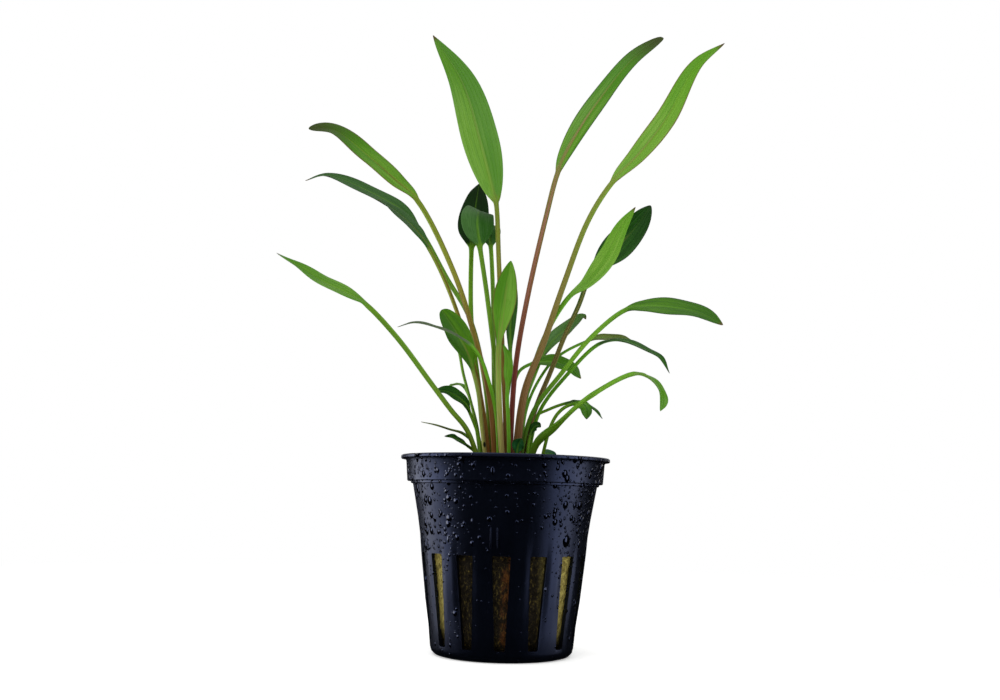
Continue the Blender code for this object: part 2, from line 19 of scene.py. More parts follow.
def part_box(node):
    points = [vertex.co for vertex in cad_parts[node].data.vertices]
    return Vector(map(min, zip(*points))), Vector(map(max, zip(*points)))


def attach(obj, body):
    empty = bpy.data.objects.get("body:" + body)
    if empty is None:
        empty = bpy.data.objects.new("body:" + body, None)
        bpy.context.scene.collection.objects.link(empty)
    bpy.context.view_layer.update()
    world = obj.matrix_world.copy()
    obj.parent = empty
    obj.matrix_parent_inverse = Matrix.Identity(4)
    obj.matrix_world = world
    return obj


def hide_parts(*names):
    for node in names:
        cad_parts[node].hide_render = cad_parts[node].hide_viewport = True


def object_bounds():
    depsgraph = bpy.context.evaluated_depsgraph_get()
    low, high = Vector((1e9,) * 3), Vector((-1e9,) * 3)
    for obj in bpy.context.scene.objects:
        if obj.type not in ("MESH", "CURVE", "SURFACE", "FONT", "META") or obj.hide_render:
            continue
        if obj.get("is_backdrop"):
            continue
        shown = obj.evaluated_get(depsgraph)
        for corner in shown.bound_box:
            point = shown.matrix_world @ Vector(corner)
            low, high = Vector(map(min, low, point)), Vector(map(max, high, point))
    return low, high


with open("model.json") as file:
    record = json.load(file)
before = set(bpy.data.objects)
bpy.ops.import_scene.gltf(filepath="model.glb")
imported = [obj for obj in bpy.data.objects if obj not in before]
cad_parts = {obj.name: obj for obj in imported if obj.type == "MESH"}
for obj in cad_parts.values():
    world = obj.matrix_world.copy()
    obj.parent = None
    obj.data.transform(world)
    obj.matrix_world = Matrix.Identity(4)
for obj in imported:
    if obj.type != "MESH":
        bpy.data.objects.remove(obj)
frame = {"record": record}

MM = 0.001
LEAF_PLACES = ("along", "across", "offset", "upper")
BODY = "root"
LUMP_LEVEL = 0.6
log = logging.getLogger("cryptocoryne")

Point = tuple[float, float, float]
Pair = tuple[float, float]
Socket = bpy.types.NodeSocket
Piece = bpy.types.Object


def color(text: str) -> Point:
    """Return the linear colour of a screen colour.

    Args:
        text: red, green and blue as six hexadecimal digits after a hash sign.

    Returns:
        The three channels, each from 0 to 1.
    """
    channels = [int(text[start:start + 2], 16) / 255 for start in (1, 3, 5)]
    return tuple(value / 12.92 if value <= 0.04045 else ((value + 0.055) / 1.055) ** 2.4
                 for value in channels)


def deselect_all() -> None:
    """Leave no object selected."""
    bpy.ops.object.select_all(action="DESELECT")


def begin(name: str, add: Callable[..., set], **settings: object) -> Piece:
    """Add a primitive by its operator, name it and give its mesh its place."""
    deselect_all()
    add(**settings)
    piece = bpy.context.object
    piece.name = name
    piece.data.name = name
    bpy.ops.object.transform_apply(location=True, rotation=True, scale=True)
    return piece


def hold(piece: Piece) -> None:
    """Make a piece the only one selected, and the active one."""
    deselect_all()
    piece.select_set(True)
    bpy.context.view_layer.objects.active = piece


@contextmanager
def editing(piece: Piece) -> Iterator[None]:
    """Open a piece in edit mode, and close it again afterwards."""
    hold(piece)
    bpy.ops.object.mode_set(mode="EDIT")
    bpy.ops.mesh.select_mode(type="VERT")
    yield
    bpy.ops.object.mode_set(mode="OBJECT")


def pick(piece: Piece, wanted: Callable[[Vector], bool]) -> None:
    """Select only the corners that a test wants in a piece that is open in edit mode.

    Args:
        piece: the piece that is open.
        wanted: says of a corner's place whether it is selected.
    """
    mesh = bmesh.from_edit_mesh(piece.data)
    for group in (mesh.verts, mesh.edges, mesh.faces):
        for item in group:
            item.select_set(False)
    for corner in mesh.verts:
        corner.select_set(wanted(corner.co))
    mesh.select_flush(True)
    bmesh.update_edit_mesh(piece.data)


def pick_all() -> None:
    """Select all of the piece that is open in edit mode."""
    bpy.ops.mesh.select_all(action="SELECT")


def resize(x: float, y: float, z: float, about: Point = (0, 0, 0)) -> None:
    """Scale what is selected on each axis, away from a place."""
    bpy.ops.transform.resize(value=(x, y, z), center_override=about)


def add_modifier(piece: Piece, kind: str, **settings: object) -> None:
    """Add a modifier with the given settings to a piece and apply it."""
    hold(piece)
    modifier = piece.modifiers.new(kind.lower(), kind)
    for name, value in settings.items():
        setattr(modifier, name, value)
    bpy.ops.object.modifier_apply(modifier=modifier.name)


def push_out(piece: Piece, strength: float, grain: float, detail: int = 2) -> None:
    """Push a piece's surface in and out by soft lumps.

    Args:
        piece: the piece.
        strength: how far it is pushed, in millimetres.
        grain: how wide a lump is, in millimetres.
        detail: how many finer lumps are laid over it.
    """
    lumps = bpy.data.textures.new(f"{piece.name}_lumps", "CLOUDS")
    lumps.noise_scale = grain
    lumps.noise_depth = detail
    add_modifier(piece, "DISPLACE", texture=lumps, texture_coords="LOCAL", strength=strength,
                 mid_level=LUMP_LEVEL)


def smooth(piece: Piece, levels: int) -> None:
    """Subdivide a piece's surface as often as levels says."""
    add_modifier(piece, "SUBSURF", levels=levels, render_levels=levels)


def join(pieces: list[Piece]) -> Piece:
    """Join pieces to the first of them and return it."""
    hold(pieces[0])
    for piece in pieces:
        piece.select_set(True)
    bpy.ops.object.join()
    return bpy.context.object


def copy(piece: Piece) -> Piece:
    """Return a copy of a piece with a mesh of its own."""
    hold(piece)
    bpy.ops.object.duplicate(linked=False)
    return bpy.context.object


def raise_rings(name: str, sides: int, outline: list[Pair], turn: float = 0.0) -> Piece:
    """Model a closed round body by extruding a disc from ring to ring.

    Args:
        name: the body's name.
        sides: how many corners a ring has.
        outline: each ring's radius and height; the first and the last one are filled.
        turn: the place of the first corner, in degrees.

    Returns:
        The body.
    """
    (radius, height), *rings = outline
    body = begin(name, bpy.ops.mesh.primitive_circle_add, vertices=sides, radius=radius, fill_type="NGON",
                 location=(0, 0, height), rotation=(0, 0, math.radians(turn)))
    with editing(body):
        pick_all()
        for next_radius, next_height in rings:
            bpy.ops.mesh.extrude_region_move(TRANSFORM_OT_translate={"value": (0, 0, next_height - height)})
            wider = next_radius / radius
            resize(wider, wider, 1, (0, 0, next_height))
            radius, height = next_radius, next_height
        pick_all()
        bpy.ops.mesh.normals_make_consistent(inside=False)
    return body


def settle(piece: Piece) -> None:
    """Bring a finished piece from millimetres to metres, with its place in its mesh."""
    hold(piece)
    piece.scale = (MM, MM, MM)
    bpy.ops.object.transform_apply(location=True, rotation=True, scale=True)


def dress(piece: Piece, node: str, material: bpy.types.Material) -> None:
    """Give a finished piece its material and body, name it after the solid that it stands for and hide that
    solid.
    """
    piece.data.materials.clear()
    piece.data.materials.append(material)
    piece.name = f"{node}_look"
    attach(piece, BODY)
    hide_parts(node)


def by_node(operation: str) -> Callable[..., "Amount"]:
    """Return a method that puts an amount and another number through a Math node."""
    def method(first: "Amount", second: object = 0.0) -> "Amount":
        """Return what the two numbers give."""
        return first.graph.math(operation, first, second)

    return method


@dataclass(frozen=True)
class Amount:
    """A number that a material works out at each point, and that can stand in a sum."""

    graph: "Graph"
    socket: Socket

    __add__, __sub__, __mul__ = by_node("ADD"), by_node("SUBTRACT"), by_node("MULTIPLY")
    __truediv__, __pow__, __abs__ = by_node("DIVIDE"), by_node("POWER"), by_node("ABSOLUTE")
    at_least = by_node("MAXIMUM")

    def __rsub__(self, other: object) -> "Amount":
        """Return another number less this one."""
        return self.graph.math("SUBTRACT", other, self)

    def rise(self, low: float, high: float) -> "Amount":
        """Return 0 on low's side, 1 on high's side and a smooth step between them."""
        node = self.graph.add("ShaderNodeMapRange", interpolation_type="SMOOTHSTEP")
        for name, given in (("Value", self), ("From Min", low), ("From Max", high)):
            self.graph.feed(node.inputs[name], given)
        return Amount(self.graph, node.outputs[0])


@dataclass(frozen=True)
class Grain:
    """A pattern of soft noise.

    Attributes:
        scale: how fine it is.
        seed: tells it from the other patterns.
        detail: how many finer patterns are laid over it.
        roughness: how strong those are.
        stretch: how it is scaled on each axis, less for longer grains.
    """

    scale: float = 1.0
    seed: float = 0.0
    detail: float = 3.0
    roughness: float = 0.5
    stretch: Point = (1.0, 1.0, 1.0)


class Graph:
    """The nodes of one material, with a short method for each kind in use."""

    def __init__(self, name: str) -> None:
        """Start a material that holds only its shader and its output."""
        self.material = bpy.data.materials.new(name)
        self.material.use_nodes = True
        self.tree = self.material.node_tree
        self.shader = self.tree.nodes["Principled BSDF"]

    def feed(self, socket: Socket, value: object) -> None:
        """Link a socket to what a node gives, or set it to a number, a vector or a colour."""
        if isinstance(value, Amount):
            value = value.socket
        if isinstance(value, str):
            value = color(value)
        if isinstance(value, Socket):
            self.tree.links.new(value, socket)
        elif socket.type == "RGBA":
            socket.default_value = (*value, 1.0)
        else:
            socket.default_value = value

    def add(self, kind: str, **settings: object) -> bpy.types.Node:
        """Add a node of a kind, with its own settings."""
        node = self.tree.nodes.new(kind)
        for name, value in settings.items():
            setattr(node, name, value)
        return node

    def math(self, operation: str, first: object, second: object = 0.0) -> Amount:
        """Return the result of a Math node."""
        node = self.add("ShaderNodeMath", operation=operation)
        for socket, value in zip(node.inputs, (first, second)):
            self.feed(socket, value)
        return Amount(self, node.outputs[0])

    def mix(self, part: object, first: object, second: object) -> Socket:
        """Return a colour between two others."""
        node = self.add("ShaderNodeMix", data_type="RGBA")
        for index, value in ((0, part), (6, first), (7, second)):
            self.feed(node.inputs[index], value)
        return node.outputs[2]

    def ramp(self, value: Amount, stops: tuple[tuple[float, str], ...]) -> Socket:
        """Return the colour that a ramp gives a value."""
        node = self.add("ShaderNodeValToRGB")
        elements = node.color_ramp.elements
        while len(elements) < len(stops):
            elements.new(1.0)
        for element, (place, tint) in zip(elements, stops):
            element.position = place
            element.color = (*color(tint), 1.0)
        self.feed(node.inputs[0], value)
        return node.outputs[0]

    def attribute(self, name: str) -> Amount:
        """Return a mesh attribute's number."""
        return Amount(self, self.add("ShaderNodeAttribute", attribute_name=name).outputs["Fac"])

    def place(self) -> Socket:
        """Return the place on the object, in metres."""
        return self.add("ShaderNodeTexCoord").outputs["Object"]

    def vector(self, x: object, y: object, z: object) -> Socket:
        """Return a vector made of three numbers."""
        node = self.add("ShaderNodeCombineXYZ")
        for socket, value in zip(node.inputs, (x, y, z)):
            self.feed(socket, value)
        return node.outputs[0]

    def stretch(self, vector: Socket, scale: Point) -> Socket:
        """Return a vector scaled on each axis."""
        node = self.add("ShaderNodeMapping")
        self.feed(node.inputs["Vector"], vector)
        node.inputs["Scale"].default_value = scale
        return node.outputs[0]

    def noise(self, vector: Socket, grain: Grain, seed: float = 0.0) -> Amount:
        """Return a pattern's number, from 0 to 1, at a place."""
        node = self.add("ShaderNodeTexNoise", noise_dimensions="4D")
        given = {"Vector": self.stretch(vector, grain.stretch), "W": grain.seed + seed,
                 "Scale": grain.scale, "Detail": grain.detail, "Roughness": grain.roughness}
        for name, value in given.items():
            self.feed(node.inputs[name], value)
        return Amount(self, node.outputs["Fac"])

    def cells(self, vector: Socket, scale: float) -> tuple[Amount, Amount]:
        """Return the distance to the nearest of scattered points, and that point's own number."""
        node = self.add("ShaderNodeTexVoronoi", feature="F1")
        self.feed(node.inputs["Vector"], vector)
        node.inputs["Scale"].default_value = scale
        split = self.add("ShaderNodeSeparateColor")
        self.feed(split.inputs[0], node.outputs["Color"])
        return Amount(self, node.outputs["Distance"]), Amount(self, split.outputs[0])

    def axes(self, vector: Socket) -> tuple[Amount, ...]:
        """Return the three numbers of a vector."""
        node = self.add("ShaderNodeSeparateXYZ")
        self.feed(node.inputs[0], vector)
        return tuple(Amount(self, socket) for socket in node.outputs)

    def bump(self, height: Amount, depth: float) -> Socket:
        """Return a normal bent by a height from 0 to 1, which is depth metres deep."""
        node = self.add("ShaderNodeBump")
        node.inputs["Strength"].default_value = 1.0
        node.inputs["Distance"].default_value = depth
        self.feed(node.inputs["Height"], height)
        return node.outputs[0]

    def finish(self, **values: object) -> bpy.types.Material:
        """Feed the shader's sockets, by their names with _ for a space, and return the material."""
        for name, value in values.items():
            self.feed(self.shader.inputs[name.replace("_", " ")], value)
        return self.material


@dataclass(frozen=True)
class Beads:
    """One size of the fine beading that makes the plastic look wet.

    Attributes:
        cell: the mean distance between beads, in millimetres.
        reach: a bead's mean radius as a part of the cell.
        share: how many of the cells hold a bead where it is wettest, from 0 to 1.
        run: how many times longer than wide a bead is.
    """

    cell: float
    reach: float
    share: float
    run: float = 1.15


@dataclass(frozen=True)
class PotPlastic:
    """Black moulded plastic with a bluish gloss, beaded with wet.

    Places and heights are in metres. Two numbers say where an effect starts and where it is
    full, and each part that one thing has in another is from 0 to 1.
    """

    base: str = "#010204"
    worn: str = "#04060b"
    bead: str = "#010103"
    # Painted highlight: the lip is lighter, as where its rounded outer edge catches the side light.
    lip: str = "#10121c"
    lip_highlight_from: Pair = (0.0498, 0.0502)
    layers: tuple[Beads, ...] = (Beads(4.2, 0.23, 0.75), Beads(3.6, 0.17, 0.5, 2.4), Beads(2.2, 0.29, 0.9),
                                 Beads(1.3, 0.30, 0.8), Beads(0.9, 0.28, 0.7))
    steepness: float = 0.75
    dome: float = 0.6
    bead_edge: float = 0.06
    foot_to_top: Pair = (0.004, 0.034)
    least_wet: float = 0.30
    front_to_side: Pair = (0.005, 0.015)
    front_wet: float = 0.40
    dry_patches: Grain = Grain(90.0, 2.0, 1.0)
    patch_rise: Pair = (0.22, 0.46)
    clouds: Grain = Grain(55.0, 5.0, 4.0)
    cloud_rise: Pair = (0.4, 0.75)
    scuffs: Grain = Grain(420.0, 0.0, 5.0, 0.65, (1.0, 1.0, 0.25))
    scuff_depth: float = 0.006
    smoothest: float = 0.23
    scuffing: float = 0.24
    bead_polish: float = 0.72
    shine: float = 0.8
    tint: Point = (0.36, 0.47, 1.0)

    def beading(self, graph: Graph, place: Socket) -> Amount:
        """Return the height of the beads, which thin out towards the foot.

        Args:
            graph: the material's nodes.
            place: the place on the pot.

        Returns:
            The height in millimetres.
        """
        across, _, height = graph.axes(place)
        upper = height.rise(*self.foot_to_top) * (1 - self.least_wet) + self.least_wet
        aside = abs(across).rise(*self.front_to_side) * (1 - self.front_wet) + self.front_wet
        wet = upper * graph.noise(place, self.dry_patches).rise(*self.patch_rise) * aside
        total = 0.0
        for layer in self.layers:
            drawn = graph.stretch(place, (1.0, 1.0, 1 / layer.run))
            distance, own = graph.cells(drawn, 1 / (layer.cell * MM))
            there = graph.math("LESS_THAN", own, wet * layer.share)
            radius = own * (layer.reach / layer.share) + layer.reach / 2
            inside = distance / radius
            cap = (1.0 - inside * inside).at_least(0.0) ** self.dome * there
            total = (cap * radius * (layer.cell * self.steepness)).at_least(total)
        return total

    def material(self) -> bpy.types.Material:
        """Return the pot's material."""
        graph = Graph("pot_plastic")
        place = graph.place()
        beads = self.beading(graph, place)
        beaded = beads.rise(0.0, self.bead_edge)
        scuffs = graph.noise(place, self.scuffs)
        tone = graph.mix(graph.noise(place, self.clouds).rise(*self.cloud_rise), self.base, self.worn)
        # Painted highlight: the plastic turns to the lighter lip tone at the top.
        tone = graph.mix(graph.axes(place)[2].rise(*self.lip_highlight_from), tone, self.lip)
        tone = graph.mix(beaded, tone, self.bead)
        gloss = (scuffs * self.scuffing + self.smoothest) * (1.0 - beaded * self.bead_polish)
        relief = graph.bump(scuffs * self.scuff_depth + beads, MM)
        return graph.finish(Base_Color=tone, Roughness=gloss, Specular_IOR_Level=self.shine,
                            Specular_Tint=self.tint, Normal=relief)


@dataclass(frozen=True)
class WoolFinish:
    """Olive rock wool with damp dark brown blotches and a rusty streak, darker towards its foot, and with
    painted shade in the same dark brown on its front below the top, behind the slots.

    Places and heights are in metres. Two numbers say where an effect starts and where it is
    full, and each part that one thing has in another is from 0 to 1.
    """

    lit: str = "#a89c52"
    shade: str = "#66592a"
    # Dark brown for the damp blotches, for the painted shade on the front and for the darker foot.
    soaked_and_shaded: str = "#161005"
    golden: str = "#5c4f1e"
    rust: str = "#6a3a0e"
    threads: Grain = Grain(1700.0, 0.0, 5.0, 0.7, (1.0, 1.0, 0.5))
    dry_rise: Pair = (0.34, 0.66)
    damp_and_shade_rise: Pair = (0.50, 0.72)
    tufts: Grain = Grain(330.0, 3.0, 4.0, 0.6)
    blotch_rise: Pair = (0.55, 0.72)
    blotch: float = 0.6
    # Painted shade on the front of the wool, below its top, where the slots show it.
    front_shade_middle: float = -0.0015
    front_shade_edge: Pair = (0.0140, 0.0095)
    front_shade_depth: Pair = (0.0, -0.008)
    under_top: Pair = (0.036, 0.029)
    # The wool is darker towards its foot.
    foot: Pair = (0.013, 0.004)
    foot_darkening: float = 0.75
    streak_middle: float = 0.0012
    streak_edge: Pair = (0.0024, 0.0008)
    streak_rise: Pair = (0.74, 1.0)
    streak_threads: float = 0.7
    streak: float = 0.55
    relief: float = 0.6
    depth: float = 0.0005

    def material(self) -> bpy.types.Material:
        """Return the wool's material."""
        graph = Graph("rock_wool_fibre")
        place = graph.place()
        across, depth, height = graph.axes(place)
        threads = graph.noise(place, self.threads)
        tufts = graph.noise(place, self.tufts)
        dry = graph.mix(threads.rise(*self.dry_rise), self.shade, self.lit)
        # The dark tone of the damp blotches, of the painted shade in front and of the darker foot.
        wet = graph.mix(threads.rise(*self.damp_and_shade_rise), self.soaked_and_shaded, self.golden)
        # Painted shade: the front of the wool below its top, behind the slots, is darkened.
        before = depth.rise(*self.front_shade_depth) * height.rise(*self.under_top)
        front = abs(across - self.front_shade_middle).rise(*self.front_shade_edge) * before
        # Darker towards the foot, as well as in the random blotches.
        damp_and_shade = front.at_least(height.rise(*self.foot) * self.foot_darkening)
        damp_and_shade = damp_and_shade.at_least(tufts.rise(*self.blotch_rise) * self.blotch)
        streak = abs(across - self.streak_middle).rise(*self.streak_edge) * before
        streak = streak * (threads * self.streak_threads + tufts).rise(*self.streak_rise)
        tone = graph.mix(streak * self.streak, graph.mix(damp_and_shade, dry, wet), self.rust)
        return graph.finish(Base_Color=tone, Roughness=0.85, Specular_IOR_Level=0.2,
                            Normal=graph.bump(tufts * self.relief + threads, self.depth))


@dataclass(frozen=True)
class CrownFinish:
    """The brown, scarred skin of a crown.

    Places and heights are in metres. Two numbers say where an effect starts and where it is
    full, and each part that one thing has in another is from 0 to 1.
    """

    pale: str = "#8a6a3c"
    dark: str = "#3c2814"
    rings: Grain = Grain(900.0, 0.0, 4.0, 0.5, (0.4, 1.0, 1.0))
    ring_rise: Pair = (0.35, 0.7)
    spots: Grain = Grain(420.0, 4.0)
    spot_rise: Pair = (0.5, 0.7)
    spot: float = 0.5
    depth: float = 0.0003

    def material(self, name: str) -> bpy.types.Material:
        """Return the material of one crown."""
        graph = Graph(f"{name}_skin")
        place = graph.place()
        rings = graph.noise(place, self.rings)
        tone = graph.mix(rings.rise(*self.ring_rise), self.dark, self.pale)
        tone = graph.mix(graph.noise(place, self.spots).rise(*self.spot_rise) * self.spot, tone, self.dark)
        return graph.finish(Base_Color=tone, Roughness=0.75, Specular_IOR_Level=0.25,
                            Normal=graph.bump(rings, self.depth))


@dataclass(frozen=True)
class Green:
    """A blade's colours between its veins, along them and below, its roughness and its shine."""

    light: str
    deep: str
    under: str
    gloss: float = 0.38
    shine: float = 0.2


class Blade(Enum):
    """The greens that the plant's blades come in, one paler as painted light and one darker as painted
    shade.
    """

    BRIGHT = Green("#6c9c32", "#46800a", "#789a4c")
    # Painted light: a paler green for the two right-hand leaves that the light falls on more strongly.
    PALE = Green("#82ac42", "#5c9620", "#8aa85c")
    FRESH = Green("#6e9c2a", "#427c08", "#74944c")
    RICH = Green("#50840c", "#306402", "#5c842e")
    DEEP = Green("#446e34", "#245410", "#547842", 0.4, 0.13)
    NIGHT = Green("#2c6016", "#123e06", "#3c6226", 0.38, 0.14)
    # Painted shade: a darker green for the back leaf, which stands in the shadow of the leaves before it.
    SHADE = Green("#183c0e", "#0c2605", "#244818", 0.5, 0.05)
    TEAL = Green("#2a6a38", "#124a1e", "#447a54", 0.34)
    DUSTY = Green("#568044", "#3a6618", "#668856")
    ASHEN = Green("#67765a", "#465a3c", "#67765a")
    OLIVE = Green("#6c7c3c", "#4c601e", "#78844c")


@dataclass(frozen=True)
class StalkTones:
    """Colours of a stalk from its foot to its neck, and of the stripes along it."""

    foot: str
    low: str
    high: str
    neck: str
    stripe: str


class Stalk(Enum):
    """The colours that the plant's stalks come in."""

    GREEN = StalkTones("#6c6c24", "#668a1c", "#6c9c26", "#689822", "#48700e")
    OLIVE = StalkTones("#7e4a1a", "#8a6c2c", "#86882c", "#749628", "#5e3416")
    # Its pink stripe tone is a painted highlight: the pinkish gleam along the stalk, laid in as stripes.
    RUSSET = StalkTones("#5a1c12", "#74281c", "#7a5a28", "#70802a", "#a0645c")
    BROWN = StalkTones("#5e3818", "#6c5026", "#76802a", "#74982a", "#8a6844")
    MOSSY = StalkTones("#4a5010", "#527e14", "#70a626", "#6ca42a", "#3c6a0a")
    LIME = StalkTones("#7aa228", "#629c1a", "#66a41c", "#66a422", "#3c740a")
    CREAM = StalkTones("#a4985a", "#a8ac5a", "#8ab044", "#6ca430", "#946048")
    SHADED = StalkTones("#42300c", "#543c14", "#465414", "#2e5c16", "#8c7844")


class Edge(Enum):
    """The colours that a blade's margin or tip may turn to."""

    GREEN = ""
    RED = "#6c3a28"
    BROWN = "#5c4a20"
    MOSS = "#37450c"
    DARK = "#23381c"
    GREY = "#7c7c6c"


@dataclass(frozen=True)
class Speck:
    """A dark spot on a leaf.

    Attributes:
        along: its place from -1 at the foot over 0 at the neck to 1 at the tip.
        across: its place from one edge, -1, to the other, 1.
        reach: its radius along the leaf, in the same measure.
    """

    along: float
    across: float
    reach: float

    WIDTH = 0.04
    CORE = 0.5
    TONE = (0.008, 0.007, 0.005)

    def lay(self, graph: Graph, tone: Socket, along: Amount, across: Amount) -> Socket:
        """Return a leaf's colour with this spot on it."""
        apart = (along - self.along) ** 2.0 + ((across - self.across) * self.WIDTH) ** 2.0
        part = graph.math("SQRT", apart).rise(self.reach, self.reach * self.CORE)
        return graph.mix(part, tone, self.TONE)


@dataclass(frozen=True)
class LeafFinish:
    """How one leaf is coloured.

    The middle rib keeps a part, rib, of the stalk's colour. The half with a painted sheen, paler
    than the rest, is 1 or -1, or 0 for neither. Towards its end the blade is deeper green by
    deeper_tip, and tip_reach is the part of it that the tip's colour covers.
    """

    blade: Blade = Blade.FRESH
    stalk: Stalk = Stalk.GREEN
    margin: Edge = Edge.GREEN
    tip: Edge = Edge.BROWN
    rib: float = 0.55
    sheen_half: int = 0
    deeper_tip: float = 0.25
    tip_reach: float = 0.07
    specks: tuple[Speck, ...] = ()

    FINE = Grain(detail=1.0)
    FINE_ALONG, FINE_PER_MM = 2.0, 0.85
    CLOUD = Grain(2.6, 7.0)
    PATCH = Grain(1.0, 19.0, 2.0)
    PATCH_ALONG, PATCH_PER_MM = 7.0, 0.32
    PATCH_RISE, PATCH_PART = (0.56, 0.66), 0.35
    PATTERN_PART, PATTERN_LEVEL = 0.9, 0.42
    # Painted sheen on one half of the blade.
    HALF_RISE, HALF_PART, HALF_LEVEL = (-0.12, 0.2), 0.55, 0.22
    DEEPER_RISE = (0.35, 0.9)
    VEINS_PER_MM, FEWEST_VEINS = 0.42, 2.0
    VEIN_RISE, VEIN_PART = (0.34, 0.5), 0.28
    VEIN_RELIEF, FINE_RELIEF, RELIEF_DEPTH = 0.6, 0.4, 0.00006
    STRIPES = Grain(1.0, 11.0, 2.0, 0.5, (2.0, 5.0, 1.0))
    STRIPE_RISE, STRIPE_PART = (0.45, 0.57), 0.65
    STALK_STOPS = (0.0, 0.3, 0.7, 1.0)
    UNDER_RISE, UNDER_PART = (0.1, -0.1), 0.6
    RIB_TAPER, RIB_RISE = 1.15, (0.35, 1.0)
    RIB_FADE_RISE, RIB_FADE = (0.0, 0.9), 0.6
    MARGIN_RISE, MARGIN_PART = (0.84, 0.97), 0.7
    TIP_FULL = 0.99
    NECK_RISE = (-0.02, 0.06)

    def blade_tone(self, graph: Graph, along: Amount, across: Amount, seed: float,
                   width: float) -> tuple[Socket, Amount]:
        """Return the blade's colour and the height of its veins.

        Args:
            graph: the material's nodes.
            along: the place along the leaf.
            across: the place across the leaf.
            seed: tells this leaf's pattern from the others'.
            width: the blade's width in millimetres.

        Returns:
            The colour without rib, margin and tip, and a height from 0 to 1.
        """
        green = self.blade.value
        flat = graph.vector(along, across, 0.0)
        long_lines = graph.stretch(flat, (self.FINE_ALONG, width * self.FINE_PER_MM, 1.0))
        short_lines = graph.stretch(flat, (self.PATCH_ALONG, width * self.PATCH_PER_MM, 1.0))
        fine = graph.noise(long_lines, self.FINE, seed)
        patch = graph.noise(short_lines, self.PATCH, seed)
        veins = max(self.FEWEST_VEINS, width * self.VEINS_PER_MM)
        vein = graph.math("PINGPONG", abs(across) * veins, 0.5).rise(*self.VEIN_RISE)
        light = (fine + graph.noise(flat, self.CLOUD, seed)) * self.PATTERN_PART - self.PATTERN_LEVEL
        # Painted sheen: one half of the blade is made paler and the rest a little deeper, as where the soft
        # light gleams on it.
        if self.sheen_half:
            half = (across * float(self.sheen_half)).rise(*self.HALF_RISE)
            light = light + half * self.HALF_PART - self.HALF_LEVEL
        light = light - along.rise(*self.DEEPER_RISE) * self.deeper_tip
        tone = graph.mix(light.rise(0.0, 1.0), green.deep, green.light)
        tone = graph.mix(vein * self.VEIN_PART, tone, green.deep)
        tone = graph.mix(patch.rise(*self.PATCH_RISE) * self.PATCH_PART, tone, green.deep)
        return tone, vein * self.VEIN_RELIEF + fine * self.FINE_RELIEF

    def stalk_tone(self, graph: Graph, along: Amount, across: Amount, seed: float) -> Socket:
        """Return the stalk's colour, striped along its length."""
        tones = self.stalk.value
        colors = (tones.foot, tones.low, tones.high, tones.neck)
        base = graph.ramp(along + 1.0, tuple(zip(self.STALK_STOPS, colors)))
        stripes = graph.noise(graph.vector(along, across, 0.0), self.STRIPES, seed)
        return graph.mix(stripes.rise(*self.STRIPE_RISE) * self.STRIPE_PART, base, tones.stripe)

    def material(self, name: str, seed: float, rib_reach: float, width: float) -> bpy.types.Material:
        """Return the material of one leaf.

        Args:
            name: the leaf's name.
            seed: tells this leaf's pattern from the others'.
            rib_reach: half the width of the middle rib at the neck, in millimetres.
            width: the blade's width in millimetres.

        Returns:
            The material.
        """
        graph = Graph(f"{name}_skin")
        along, across, offset, upper = (graph.attribute(word) for word in LEAF_PLACES)
        tone, relief = self.blade_tone(graph, along, across, seed, width)
        stem = self.stalk_tone(graph, along, across, seed)
        green = self.blade.value
        tone = graph.mix(upper.rise(*self.UNDER_RISE) * self.UNDER_PART, tone, green.under)
        reach = (self.RIB_TAPER - along.at_least(0.0)) * rib_reach
        fade = 1.0 - along.rise(*self.RIB_FADE_RISE) * self.RIB_FADE
        rib = (1.0 - (abs(offset) / reach).rise(*self.RIB_RISE)) * fade * self.rib
        tone = graph.mix(rib, tone, stem)
        if self.margin is not Edge.GREEN:
            part = abs(across).rise(*self.MARGIN_RISE) * self.MARGIN_PART
            tone = graph.mix(part, tone, self.margin.value)
        if self.tip is not Edge.GREEN:
            tone = graph.mix(along.rise(1 - self.tip_reach, self.TIP_FULL), tone, self.tip.value)
        tone = graph.mix(along.rise(*self.NECK_RISE), stem, tone)
        for speck in self.specks:
            tone = speck.lay(graph, tone, along, across)
        return graph.finish(Base_Color=tone, Roughness=green.gloss, Specular_IOR_Level=green.shine,
                            Normal=graph.bump(relief, self.RELIEF_DEPTH))


